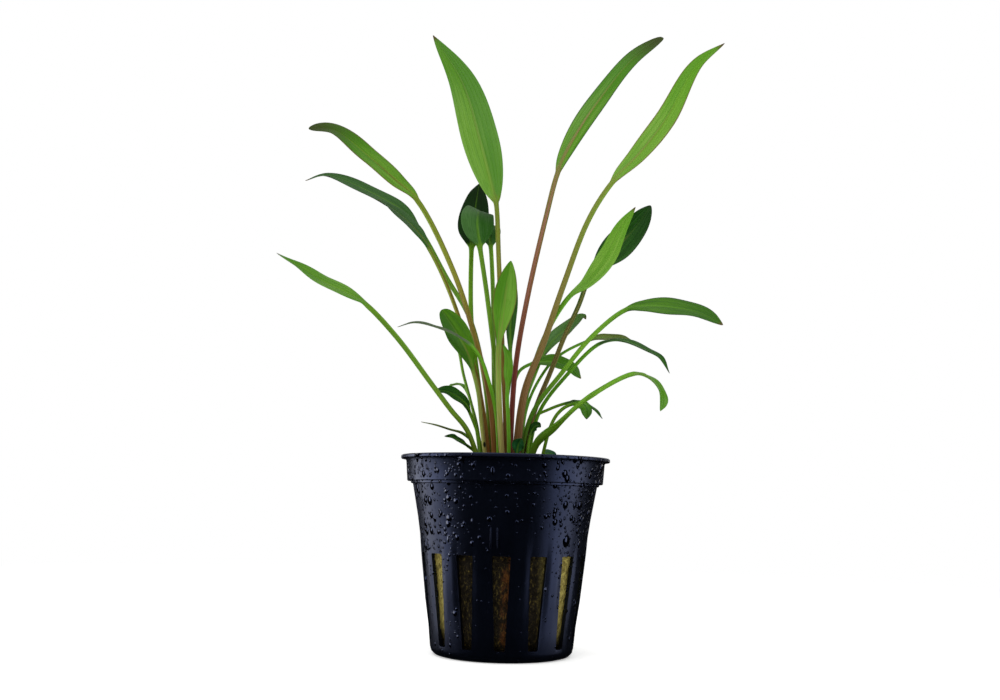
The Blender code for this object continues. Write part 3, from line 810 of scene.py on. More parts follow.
@dataclass(frozen=True)
class Leaf:
    """One leaf, from its foot on the crown to the tip of its blade.

    It is modelled straight along +X with its upper side up, as a closed tube that
    flattens into the blade, and is then bent along its middle line.

    Attributes:
        name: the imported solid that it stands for.
        stalk: points on the middle line of the stalk, foot first.
        blade: points on the middle line of the blade, neck first.
        stalk_width: how thick the stalk is.
        blade_width: how wide the blade is where it is widest.
        face: the way that the blade's upper side looks.
        finish: how it is coloured.
        widest: where the blade is widest, as a part of its length.
        base_power: how far the blade's base is drawn out.
        tip_power: how far the blade's tip is drawn out.
        fold: how steeply the two halves rise from the middle rib.
        sheath: how many times wider than the rest of the stalk its foot is.
        wave: how far the margin ripples, in millimetres.
    """

    name: str
    stalk: tuple[Point, ...]
    blade: tuple[Point, ...]
    stalk_width: float
    blade_width: float
    face: Point
    finish: LeafFinish = LeafFinish()
    widest: float = 0.43
    base_power: float = 1.7
    tip_power: float = 0.85
    fold: float = 0.18
    sheath: float = 1.0
    wave: float = 0.25

    SIDES = 16
    STEPS_PER_SPAN = 8
    STALK_RING = 4.5
    BLADE_RING = 2.6
    BLADE_THICKNESS = 0.5
    RIM_THICKNESS = 0.2
    TIP_WIDTH = 0.3
    SHRINK = 0.975
    GROOVE = 0.16
    GROOVE_REACH = 0.45
    FLAT_FROM = 0.5
    THINNING_POWER = 3
    FEWEST_STALK_RINGS = 4
    FEWEST_BLADE_RINGS = 10
    RIPPLES = 15
    RIPPLE_SHIFT = 2
    SMOOTHING = 2

    def midline(self) -> tuple[list[Vector], float, float]:
        """Return the middle line's points, and the lengths of stalk and blade."""
        line = smooth_curve(self.stalk + self.blade, self.STEPS_PER_SPAN)
        neck = len(self.stalk) * self.STEPS_PER_SPAN
        steps = [(end - start).length for start, end in zip(line, line[1:])]
        return line, sum(steps[:neck]), sum(steps[neck:])

    def outline(self, along: float) -> float:
        """Return the blade's width at a place along it, as a part of its full width."""
        if along < self.widest:
            return math.sin(math.pi / 2 * max(along, 0.0) / self.widest) ** self.base_power
        beyond = (along - self.widest) / (1 - self.widest)
        return max(1 - beyond ** 2, 0.0) ** self.tip_power

    def flatness(self, along: float) -> float:
        """Return 0 where the leaf is round and 1 where it is a flat blade."""
        return min(1.0, self.outline(along) / self.FLAT_FROM) if along > 0 else 0.0

    def half_sizes(self, along: float) -> Pair:
        """Return half the leaf's width and half its depth.

        Args:
            along: the place, from -1 at the foot over 0 at the neck to 1 at the tip.

        Returns:
            Half the width and half the depth, in millimetres.
        """
        part = max(along, 0.0)
        blade = self.blade_width * self.outline(along) if along > 0 else 0.0
        stalk = self.stalk_width * (1 - part)
        spread = 1 + (self.sheath - 1) * min(along, 0.0) ** 2
        width = max(math.hypot(blade, stalk * spread), self.TIP_WIDTH)
        depth = stalk + (self.BLADE_THICKNESS - stalk) * self.flatness(along)
        depth = max(depth * (1 - part ** self.THINNING_POWER), self.RIM_THICKNESS)
        return width / 2, depth / 2

    def stations(self, stalk_length: float, blade_length: float) -> list[Pair]:
        """Return each ring's distance from the foot, with its place along the leaf."""
        below = max(self.FEWEST_STALK_RINGS, math.ceil(stalk_length / self.STALK_RING))
        above = max(self.FEWEST_BLADE_RINGS, math.ceil(blade_length / self.BLADE_RING))
        rings = [(stalk_length * step / below, step / below - 1) for step in range(below)]
        for step in range(above + 1):
            along = (1 - math.cos(math.pi * step / above)) / 2
            rings.append((stalk_length + blade_length * along, along))
        return rings

    def draw_out(self, rings: list[Pair]) -> Piece:
        """Model the straight leaf by extruding a disc from ring to ring.

        Args:
            rings: each ring's distance from the foot and its place along the leaf.

        Returns:
            The straight leaf, closed at both ends.
        """
        leaf = begin(self.name, bpy.ops.mesh.primitive_circle_add, vertices=self.SIDES, radius=1.0,
                     fill_type="NGON", rotation=(0, math.pi / 2, 0))
        with editing(leaf):
            pick_all()
            place, size = 0.0, (1.0, 1.0)
            for distance, along in rings:
                wide, deep = (half / self.SHRINK for half in self.half_sizes(along))
                if distance > 0:
                    bpy.ops.mesh.extrude_region_move(
                        TRANSFORM_OT_translate={"value": (distance - place, 0, 0)})
                resize(1, wide / size[0], deep / size[1], (distance, 0, 0))
                place, size = distance, (wide, deep)
            bpy.ops.mesh.merge(type="CENTER")
            pick_all()
            bpy.ops.mesh.normals_make_consistent(inside=False)
        return leaf

    def lift(self, along: float, offset: float, across: float) -> float:
        """Return how far a point of the straight leaf is raised, in millimetres."""
        flat = self.flatness(along)
        soft = math.hypot(offset, self.GROOVE_REACH) - self.GROOVE_REACH
        groove = self.GROOVE * (1 - math.exp(-(offset / self.GROOVE_REACH) ** 2))
        turn = along * self.RIPPLES + self.RIPPLE_SHIFT * math.copysign(1, offset)
        ripple = self.wave * across ** 2 * (1 + math.sin(turn)) / 2
        return flat * (self.fold * soft + groove + ripple)

    def mark(self, leaf: Piece, stalk_length: float, blade_length: float) -> float:
        """Store on the straight leaf where each point is, and how far it is to be raised.

        Args:
            leaf: the straight leaf.
            stalk_length: the stalk's length.
            blade_length: the blade's length.

        Returns:
            The greatest height that a point is raised by.
        """
        rows = []
        for corner in leaf.data.vertices:
            beyond = corner.co.x - stalk_length
            along = min(max(beyond / (blade_length if beyond > 0 else stalk_length), -1.0), 1.0)
            across = min(max(corner.co.y / self.half_sizes(along)[0], -1.0), 1.0)
            rows.append((along, across, corner.co.y, math.copysign(1.0, corner.co.z)))
        for number, word in enumerate(LEAF_PLACES):
            layer = leaf.data.attributes.new(word, "FLOAT", "POINT")
            layer.data.foreach_set("value", [row[number] for row in rows])
        heights = [self.lift(along, offset, across) for along, across, offset, _ in rows]
        highest = max(heights)
        group = leaf.vertex_groups.new(name="lift")
        for number, height in enumerate(heights):
            group.add([number], height / highest, "REPLACE")
        return highest

    def path(self, line: list[Vector]) -> Piece:
        """Return the middle line as a curve, turned so that the upper side faces its way."""
        data = bpy.data.curves.new(f"{self.name}_path", "CURVE")
        data.dimensions = "3D"
        data.twist_mode = "Z_UP"
        spline = data.splines.new("POLY")
        spline.points.add(len(line) - 1)
        turned = 0.0
        for index, place in enumerate(line):
            along = (line[min(index + 1, len(line) - 1)] - line[max(index - 1, 0)]).normalized()
            rest = (Vector((0, 0, 1)) - along * along.z).normalized()
            outward = Vector(self.face)
            outward = (outward - along * outward.dot(along)).normalized()
            angle = math.atan2(rest.cross(outward).dot(along), rest.dot(outward))
            turned = angle + math.tau * round((turned - angle) / math.tau)
            spline.points[index].co = (*place, 1.0)
            spline.points[index].tilt = turned
        path = bpy.data.objects.new(data.name, data)
        bpy.context.collection.objects.link(path)
        return path

    def build(self, seed: float, slot: str) -> None:
        """Model the leaf, bend it into place and dress it.

        Args:
            seed: tells this leaf's pattern from the others'.
            slot: the record's material slot, which is not used.
        """
        line, stalk_length, blade_length = self.midline()
        leaf = self.draw_out(self.stations(stalk_length, blade_length))
        smooth(leaf, self.SMOOTHING)
        highest = self.mark(leaf, stalk_length, blade_length)
        add_modifier(leaf, "DISPLACE", direction="Z", mid_level=0.0, strength=highest,
                     vertex_group="lift")
        path = self.path(line)
        add_modifier(leaf, "CURVE", object=path, deform_axis="POS_X")
        bpy.data.objects.remove(path)
        leaf.vertex_groups.clear()
        bpy.ops.object.shade_smooth()
        settle(leaf)
        skin = self.finish.material(self.name, seed, self.stalk_width / 2, self.blade_width)
        dress(leaf, self.name, skin)


def smooth_curve(points: tuple[Point, ...], per_span: int) -> list[Vector]:
    """Return points on a centripetal Catmull-Rom curve through the given points.

    Args:
        points: the points that the curve goes through.
        per_span: the steps between each two neighbours.

    Returns:
        The curve's points, the first and the last given ones included.
    """
    given = [Vector(point) for point in points]
    given = [2 * given[0] - given[1], *given, 2 * given[-1] - given[-2]]
    line = []
    for corners in zip(given, given[1:], given[2:], given[3:]):
        knots = [0.0]
        for left, right in zip(corners, corners[1:]):
            knots.append(knots[-1] + math.sqrt((right - left).length))
        for step in range(per_span):
            line.append(spline_point(corners, knots, knots[1] + (knots[2] - knots[1]) * step / per_span))
    line.append(given[-2])
    return line


def spline_point(corners: tuple[Vector, ...], knots: list[float], at: float) -> Vector:
    """Return the point of a Catmull-Rom span at one knot value."""
    level = list(corners)
    for row in (((0, 1), (1, 2), (2, 3)), ((0, 2), (1, 3)), ((1, 2),)):
        level = [((knots[high] - at) * level[index] + (at - knots[low]) * level[index + 1])
                 / (knots[high] - knots[low]) for index, (low, high) in enumerate(row)]
    return level[0]


@dataclass
class NetPot:
    """The moulded pot: floor, tapered wall, collar, lip, slots and raised bars.

    Measures are in millimetres and degrees. The wall's rings are pairs of a radius and a height.
    Columns are the faces between two slots' middles, turn is the first slot's place from the
    front, and the marks are two short upright mould ribs that lean out with the wall.
    """

    name: str = "pot"
    slots: int = 14
    columns: int = 12
    turn: float = -1.8
    wall: float = 1.0
    base_radius: float = 18.5
    base_bevel: float = 2.2
    slot_foot: float = 3.0
    slot_top: float = 25.9
    slot_top_radius: float = 21.2
    slot_foot_width: float = 2.6
    slot_top_width: float = 4.6
    collar_foot: float = 44.0
    wall_top_radius: float = 24.3
    collar_foot_radius: float = 25.7
    collar_top_radius: float = 26.2
    lip_thick: float = 1.0
    drains: int = 7
    drain_radius: float = 1.6
    drain_circle: float = 11.0
    bar_height: float = 30.5
    bar_width: float = 4.4
    bar_proud: float = 0.28
    low_wall: tuple[Pair, ...] = ((19.05, 7.5), (19.8, 14.0), (20.5, 20.0))
    high_wall: tuple[Pair, ...] = ((22.6, 35.0), (23.45, 39.5))
    inner_rings: tuple[Pair, Pair] = ((21.6, 35.0), (18.8, 14.0))
    bar_head_radius: float = 21.9
    bar_foot: float = 4.0
    mark_places: Pair = (-3.35, -1.78)
    mark_size: Point = (0.4, 1.2, 5.2)
    mark_radius: float = 21.8
    mark_height: float = 30.3
    mark_lean: float = 8.8
    mark_bevel: float = 0.18
    slot_bevel: float = 0.35
    drain_sides: int = 28
    smooth_degrees: float = 32.0
    finish: PotPlastic = PotPlastic()

    CORNER_TURNS = (0, 0.5, 1.0, math.pi / 2)
    COLLAR_FOOT_EDGE = (0.15, 0.2)
    COLLAR_NECK = ((-0.1, 0.6), (0.1, 0.1))
    LIP_FOOT_EDGE = (0.15, 0.18)
    LIP_EDGE = 0.25
    MOUTH_EDGE = 0.3
    INNER_CORNER = ((0.6, 0.3), (1.4, 0.0))
    WALL_TAPER = 0.09
    CUT_DEPTH = 4
    DRAIN_CUT = 4
    BAR_HEAD = 1

    def __post_init__(self) -> None:
        """Read the pot's height and the lip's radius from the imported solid."""
        low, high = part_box(self.name)
        self.height = (high.z - low.z) / MM
        self.lip_radius = (high.x - low.x) / 2 / MM

    def outline(self) -> list[Pair]:
        """Return the outline of floor and wall, from the underside round to the floor's top."""
        inner, mouth = self.base_radius - self.wall, self.collar_top_radius - self.wall
        under_lip = self.height - self.lip_thick
        corner = [(self.base_radius - self.base_bevel * (1 - math.sin(angle)),
                   self.base_bevel * (1 - math.cos(angle))) for angle in self.CORNER_TURNS]
        wall = [*self.low_wall, (self.slot_top_radius, self.slot_top),
                (self.bar_head_radius, self.bar_height), *self.high_wall,
                (self.wall_top_radius, self.collar_foot)]
        inwards, upwards = self.COLLAR_FOOT_EDGE
        collar = [(self.collar_foot_radius - inwards, self.collar_foot),
                  (self.collar_foot_radius, self.collar_foot + upwards),
                  *((self.collar_top_radius + wider, under_lip - lower)
                    for wider, lower in self.COLLAR_NECK)]
        inwards, upwards = self.LIP_FOOT_EDGE
        lip = [(self.lip_radius - inwards, under_lip), (self.lip_radius, under_lip + upwards),
               (self.lip_radius, self.height - self.LIP_EDGE),
               (self.lip_radius - self.LIP_EDGE, self.height),
               (mouth + self.MOUTH_EDGE, self.height), (mouth, self.height - self.MOUTH_EDGE)]
        upper, lower = self.inner_rings
        inside = [(self.collar_foot_radius - self.wall, self.collar_foot - self.wall / 2),
                  (self.wall_top_radius - self.wall, self.collar_foot - self.wall), upper,
                  (self.slot_top_radius - self.wall, self.slot_top), lower, (inner, self.base_bevel),
                  *((inner - inwards, self.wall + upwards) for inwards, upwards in self.INNER_CORNER)]
        return [*corner, *wall, *collar, *lip, *inside]

    def shell(self) -> Piece:
        """Model the closed wall up the outside and down the inside, and raise its bars."""
        pot = raise_rings(self.name, self.slots * self.columns, self.outline(), self.turn)
        with editing(pot):
            self.raise_bars(pot)
        return pot

    def inner_radius(self, height: float) -> float:
        """Return the wall's inner radius at a height below the collar."""
        low, high = (self.base_radius, self.base_bevel), (self.slot_top_radius, self.slot_top)
        if height > self.slot_top:
            low, high = high, (self.wall_top_radius, self.collar_foot - self.wall)
        part = max(height - low[1], 0.0) / (high[1] - low[1])
        return low[0] + part * (high[0] - low[0]) - self.wall

    def from_bar(self, place: Vector) -> float:
        """Return how far a place is from the middle of the nearest bar, round the pot."""
        step = math.tau / self.slots
        angle = math.atan2(place.x, -place.y) - math.radians(self.turn) - step / 2
        return abs(angle - step * round(angle / step)) * math.hypot(place.x, place.y)

    def raise_bars(self, pot: Piece) -> None:
        """Raise the bars between the slots a little above the wall, and their heads above the slots."""
        def on_bar(place: Vector) -> bool:
            """Say whether a corner is on the outside of a bar."""
            outside = math.hypot(place.x, place.y) > self.base_radius + place.z * self.WALL_TAPER
            level = self.bar_foot < place.z < self.bar_height - self.BAR_HEAD
            return outside and level and self.from_bar(place) < self.bar_width / 2

        pick(pot, on_bar)
        prouder = 1 + self.bar_proud / self.slot_top_radius
        resize(prouder, prouder, 1)

    def slot_cutter(self) -> Piece:
        """Model a wedge for one slot and set a copy of it in every slot's place."""
        near, far = self.base_radius - self.CUT_DEPTH, self.lip_radius
        tall = self.slot_top - self.slot_foot
        wedge = begin("slot_wedge", bpy.ops.mesh.primitive_cube_add, size=1.0,
                      scale=(self.slot_foot_width, far - near, tall),
                      location=(0, -(near + far) / 2, self.slot_foot + tall / 2))
        with editing(wedge):
            pick(wedge, lambda place: place.z > self.slot_foot + tall / 2)
            resize(self.slot_top_width / self.slot_foot_width, 1, 1)
            pick_all()
            bpy.ops.mesh.bevel(offset=self.slot_bevel, segments=3, affect="EDGES")
        wedges = [wedge]
        for number in range(1, self.slots):
            wedges.append(copy(wedge))
            wedges[-1].rotation_euler.z = math.tau * number / self.slots
        cutter = join(wedges)
        hold(cutter)
        cutter.rotation_euler.z = math.radians(self.turn)
        bpy.ops.object.transform_apply(location=True, rotation=True, scale=True)
        return cutter

    def drain_cutter(self) -> Piece:
        """Model a round plug for each drain hole."""
        plugs = []
        for number in range(self.drains):
            angle = math.radians(self.turn) + math.tau * number / self.drains
            middle = (self.drain_circle * math.sin(angle), -self.drain_circle * math.cos(angle), 0)
            plugs.append(begin("drain_plug", bpy.ops.mesh.primitive_cylinder_add, vertices=self.drain_sides,
                               radius=self.drain_radius, depth=self.DRAIN_CUT, location=middle))
        return join(plugs)

    def mould_mark(self) -> Piece:
        """Model the pair of short upright ribs on the front of the wall."""
        ribs = []
        for x in self.mark_places:
            front = -math.sqrt(self.mark_radius ** 2 - x ** 2)
            rib = begin("mould_rib", bpy.ops.mesh.primitive_cube_add, size=1.0, scale=self.mark_size,
                        location=(x, front, self.mark_height),
                        rotation=(math.radians(self.mark_lean), 0, 0))
            with editing(rib):
                pick_all()
                bpy.ops.mesh.bevel(offset=self.mark_bevel, segments=3, affect="EDGES")
            ribs.append(rib)
        return join(ribs)

    def carve(self, pot: Piece, tool: Piece, operation: str) -> None:
        """Cut a tool out of the pot or unite it with the pot, and take the tool away."""
        add_modifier(pot, "BOOLEAN", operation=operation, solver="EXACT", object=tool)
        bpy.data.objects.remove(tool)

    def build(self, slot: str) -> None:
        """Model the pot and dress it."""
        pot = self.shell()
        self.carve(pot, self.mould_mark(), "UNION")
        self.carve(pot, self.slot_cutter(), "DIFFERENCE")
        self.carve(pot, self.drain_cutter(), "DIFFERENCE")
        hold(pot)
        bpy.ops.object.shade_smooth_by_angle(angle=math.radians(self.smooth_degrees))
        settle(pot)
        dress(pot, self.name, self.finish.material())


@dataclass
class RockWool:
    """The wool plug, lumpy and covered with loose fibres.

    Measures are in millimetres. The foot is drawn in by foot_tuck up to foot_reach. The fibres'
    density is for a square millimetre, their tilt out of the surface is in radians, and their
    sizes are the least and the greatest part of the length.
    """

    pot: NetPot
    name: str = "rock_wool"
    sides: int = 96
    clearance: float = 0.1
    foot_tuck: float = 2.2
    foot_reach: float = 7.0
    lump: float = 0.9
    density: float = 0.70
    length: float = 3.2
    thickness: float = 0.09
    tilt: float = 0.09
    sizes: Pair = (0.6, 1.25)
    finish: WoolFinish = WoolFinish()

    RINGS = 26
    FOOT_INSET, FOOT_RISE = 3, 0.2
    FOOT_EDGE, BOTH_EDGES = 1, 2.4
    RIM_INSET, RIM_DROP = 1.2, 0.6
    TOP_RINGS, TOP_DROP = (0.86, 0.7, 0.5, 0.3, 0.1), 0.5
    LUMP_WIDTH, LUMP_DETAIL = 3.4, 3
    BENDS = ((-0.3, 0.10, 0.01), (-0.1, 0.16, 0.06), (0.12, -0.06, 0.08), (0.3, -0.14, 0.03))
    BEND_REACH = 0.01
    SMOOTH_DEGREES = 60

    def plug(self) -> Piece:
        """Model the tapered plug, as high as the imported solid, with a lumpy surface."""
        low, high = (corner.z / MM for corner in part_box(self.name))
        outline = [(self.pot.inner_radius(low) - self.FOOT_INSET, low + self.FOOT_RISE)]
        for step in range(self.RINGS + 1):
            height = low + self.FOOT_EDGE + (high - low - self.BOTH_EDGES) * step / self.RINGS
            tuck = self.foot_tuck * max(0.0, 1 - (height - low) / self.foot_reach) ** 2
            outline.append((self.pot.inner_radius(height) - self.clearance - tuck, height))
        rim = outline[-1][0]
        outline.append((rim - self.RIM_INSET, high - self.RIM_DROP))
        outline += [(rim * part, high - self.TOP_DROP) for part in self.TOP_RINGS]
        plug = raise_rings(self.name, self.sides, outline)
        smooth(plug, 1)
        push_out(plug, self.lump, self.LUMP_WIDTH, self.LUMP_DETAIL)
        return plug

    def strand(self) -> Piece:
        """Model one loose fibre, bent twice, along X with the wool below it."""
        strand = begin("wool_strand", bpy.ops.mesh.primitive_cylinder_add, vertices=3,
                       radius=self.thickness / 2, depth=self.length, rotation=(0, math.pi / 2, 0))
        with editing(strand):
            for part, _, _ in self.BENDS:
                pick_all()
                bpy.ops.mesh.bisect(plane_co=(part * self.length, 0, 0), plane_no=(1, 0, 0))
            for part, aside, above in self.BENDS:
                pick(strand, lambda place: abs(place.x - part * self.length) < self.BEND_REACH)
                bpy.ops.transform.translate(value=(0, aside * self.length, above * self.length))
        return strand

    def scatter(self, plug: Piece, strand: Piece) -> None:
        """Lay copies of the fibre on the plug at random places and turns, as one mesh."""
        group = bpy.data.node_groups.new("wool_fibres", "GeometryNodeTree")
        for way in ("INPUT", "OUTPUT"):
            group.interface.new_socket("Geometry", in_out=way, socket_type="NodeSocketGeometry")
        kinds = ("NodeGroupInput", "NodeGroupOutput", "GeometryNodeDistributePointsOnFaces",
                 "GeometryNodeInstanceOnPoints", "GeometryNodeObjectInfo", "FunctionNodeRotateRotation",
                 "FunctionNodeRandomValue", "FunctionNodeRandomValue", "FunctionNodeEulerToRotation",
                 "GeometryNodeRealizeInstances", "GeometryNodeJoinGeometry")
        nodes = [group.nodes.new(kind) for kind in kinds]
        start, end, points, place, source, turn, angles, sizes, euler, real, both = nodes
        points.inputs["Density"].default_value = self.density
        source.inputs["Object"].default_value = strand
        turn.rotation_space = "LOCAL"
        angles.data_type = "FLOAT_VECTOR"
        angles.inputs[0].default_value = (-self.tilt, -self.tilt, -math.pi)
        angles.inputs[1].default_value = (self.tilt, self.tilt, math.pi)
        sizes.inputs[2].default_value, sizes.inputs[3].default_value = self.sizes
        for out, into in (
                (start.outputs[0], points.inputs["Mesh"]),
                (points.outputs["Points"], place.inputs["Points"]),
                (source.outputs["Geometry"], place.inputs["Instance"]),
                (angles.outputs[0], euler.inputs[0]),
                (points.outputs["Rotation"], turn.inputs["Rotation"]),
                (euler.outputs[0], turn.inputs["Rotate By"]),
                (turn.outputs[0], place.inputs["Rotation"]), (sizes.outputs[1], place.inputs["Scale"]),
                (place.outputs[0], real.inputs[0]), (start.outputs[0], both.inputs[0]),
                (real.outputs[0], both.inputs[0]), (both.outputs[0], end.inputs[0])):
            group.links.new(out, into)
        add_modifier(plug, "NODES", node_group=group)

    def build(self, slot: str) -> None:
        """Model the wool and dress it."""
        plug, strand = self.plug(), self.strand()
        self.scatter(plug, strand)
        bpy.data.objects.remove(strand)
        hold(plug)
        bpy.ops.object.shade_smooth_by_angle(angle=math.radians(self.SMOOTH_DEGREES))
        settle(plug)
        dress(plug, self.name, self.finish.material())


@dataclass(frozen=True)
class Crown:
    """A low woody cushion that the leaves of one plant stand on.

    Its squareness says how flat its top is, and scar how far its surface is pushed in and out.
    """

    name: str
    squareness: float = 1.16
    scar: float = 0.5
    finish: CrownFinish = CrownFinish()

    CUT = -0.05
    SHOULDERS = (0.15, 0.25, 0.35)
    SHOULDER_DROP = 0.93
    FILL, RISE = 0.97, 2.1
    SINK = 0.1
    SCAR_WIDTH = 1.1

    def build(self, slot: str) -> None:
        """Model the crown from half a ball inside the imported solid's box, and dress it."""
        low, high = (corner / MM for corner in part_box(self.name))
        middle, size = (low + high) / 2, high - low
        crown = begin(self.name, bpy.ops.mesh.primitive_uv_sphere_add, segments=32, ring_count=16,
                      radius=0.5)
        with editing(crown):
            pick_all()
            bpy.ops.mesh.bisect(plane_co=(0, 0, self.CUT), plane_no=(0, 0, -1), clear_outer=True,
                                use_fill=True)
            for height in self.SHOULDERS:
                pick(crown, lambda place: place.z > height)
                resize(self.squareness, self.squareness, self.SHOULDER_DROP, (0, 0, height))
            pick_all()
            resize(size.x * self.FILL, size.y * self.FILL, size.z * self.RISE)
            bpy.ops.transform.translate(value=(middle.x, middle.y, low.z - self.SINK))
        smooth(crown, 1)
        push_out(crown, self.scar, self.SCAR_WIDTH)
        hold(crown)
        bpy.ops.object.shade_smooth()
        settle(crown)
        dress(crown, self.name, self.finish.material(self.name))


@dataclass(frozen=True)
class SoftLight:
    """A soft box that looks at the middle of the plant, with its place and size in metres."""

    name: str
    place: Point
    size: Pair
    power: float
    tint: Point = (1.0, 1.0, 1.0)

    def build(self, target: Vector) -> None:
        """Add the light and turn it to the target."""
        deselect_all()
        bpy.ops.object.light_add(type="AREA", location=self.place,
                                 rotation=(target - Vector(self.place)).to_track_quat("-Z", "Y").to_euler())
        light = bpy.context.object
        light.name = self.name
        light.data.shape = "RECTANGLE"
        light.data.size, light.data.size_y = self.size
        light.data.energy = self.power
        light.data.color = self.tint


@dataclass(frozen=True)
class Studio:
    """The pale floor, the soft light and the camera, which aren't part of the plant.

    The camera's place and the floor's half width are in millimetres and the camera's angles in
    radians. The floor fades into the room between two distances from the pot's axis, in metres.
    """

    lens: float = 40.72
    camera: Point = (-2.13, -300.0, 38.97)
    pitch: float = 0.1337
    roll: float = 0.0229
    floor_reach: float = 700.0
    floor_glow: float = 0.42
    floor_tone: str = "#fafaf9"
    floor_fade: Pair = (0.03, 0.42)
    room_on_plant: float = 0.25
    room_in_gloss: float = 0.007
    room_in_view: float = 1.0
    lights: tuple[SoftLight, ...] = (
        SoftLight("left_box", (-0.55, 0.10, 0.14), (0.6, 0.48), 2.1),
        SoftLight("right_box", (0.55, -0.10, 0.13), (0.5, 0.6), 1.6),
        SoftLight("front_box", (-0.12, -0.55, 0.62), (0.7, 0.5), 3.0),
        SoftLight("top_box", (0.0, 0.15, 0.8), (0.9, 0.9), 1.6),
        SoftLight("back_box", (0.1, 0.7, 0.35), (0.9, 0.6), 1.0),
    )

    def place_camera(self) -> None:
        """Add the camera and look through it."""
        ahead = Vector((0, math.cos(self.pitch), math.sin(self.pitch)))
        right = Vector((1, 0, 0))
        above = right.cross(ahead)
        leaning = Matrix.Rotation(-self.roll, 3, ahead)
        turn = Matrix((leaning @ right, leaning @ above, -ahead)).transposed().to_euler()
        deselect_all()
        bpy.ops.object.camera_add(location=Vector(self.camera) * MM, rotation=turn)
        camera = bpy.context.object
        camera.data.lens = self.lens
        camera.data.sensor_width = 36.0
        camera.data.clip_start = 0.01
        bpy.context.scene.camera = camera

    def lay_floor(self) -> None:
        """Add the floor, which fades into the pale room away from the pot."""
        floor = begin("studio_floor", bpy.ops.mesh.primitive_circle_add, vertices=96,
                      radius=self.floor_reach, fill_type="NGON")
        settle(floor)
        graph = Graph("pale_floor")
        reach = graph.add("ShaderNodeVectorMath", operation="LENGTH")
        graph.feed(reach.inputs[0], graph.place())
        far = Amount(graph, reach.outputs["Value"]).rise(*self.floor_fade)
        tone = graph.mix(far, self.floor_tone, (0.0, 0.0, 0.0))
        glow = far * (1 - self.floor_glow) + self.floor_glow
        pale = graph.finish(Base_Color=tone, Roughness=0.8, Specular_IOR_Level=0.0,
                            Emission_Color=(1.0, 1.0, 1.0), Emission_Strength=glow)
        floor.data.materials.append(pale)
        floor.visible_glossy = False
        floor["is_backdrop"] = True

    def light_room(self) -> None:
        """Fill the room with pale light: full for the camera, soft on the plant, dim in its gloss."""
        world = bpy.data.worlds.new("studio_room")
        bpy.context.scene.world = world
        world.use_nodes = True
        nodes, links = world.node_tree.nodes, world.node_tree.links
        backdrop = nodes["Background"]
        backdrop.inputs[0].default_value = (1.0, 1.0, 1.0, 1.0)
        ray = nodes.new("ShaderNodeLightPath")
        on_plant, in_view = (nodes.new("ShaderNodeMix") for _ in range(2))
        on_plant.inputs[2].default_value = self.room_on_plant
        on_plant.inputs[3].default_value = self.room_in_gloss
        in_view.inputs[3].default_value = self.room_in_view
        for out, into in ((ray.outputs["Is Glossy Ray"], on_plant.inputs[0]),
                          (ray.outputs["Is Camera Ray"], in_view.inputs[0]),
                          (on_plant.outputs[0], in_view.inputs[2]),
                          (in_view.outputs[0], backdrop.inputs[1])):
            links.new(out, into)

    def build(self) -> None:
        """Set up the camera, the floor and the light."""
        bpy.context.scene.view_settings.view_transform = "Standard"
        self.place_camera()
        self.lay_floor()
        self.light_room()
        low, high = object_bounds()
        middle = (Vector(low) + Vector(high)) / 2
        for light in self.lights:
            light.build(middle)


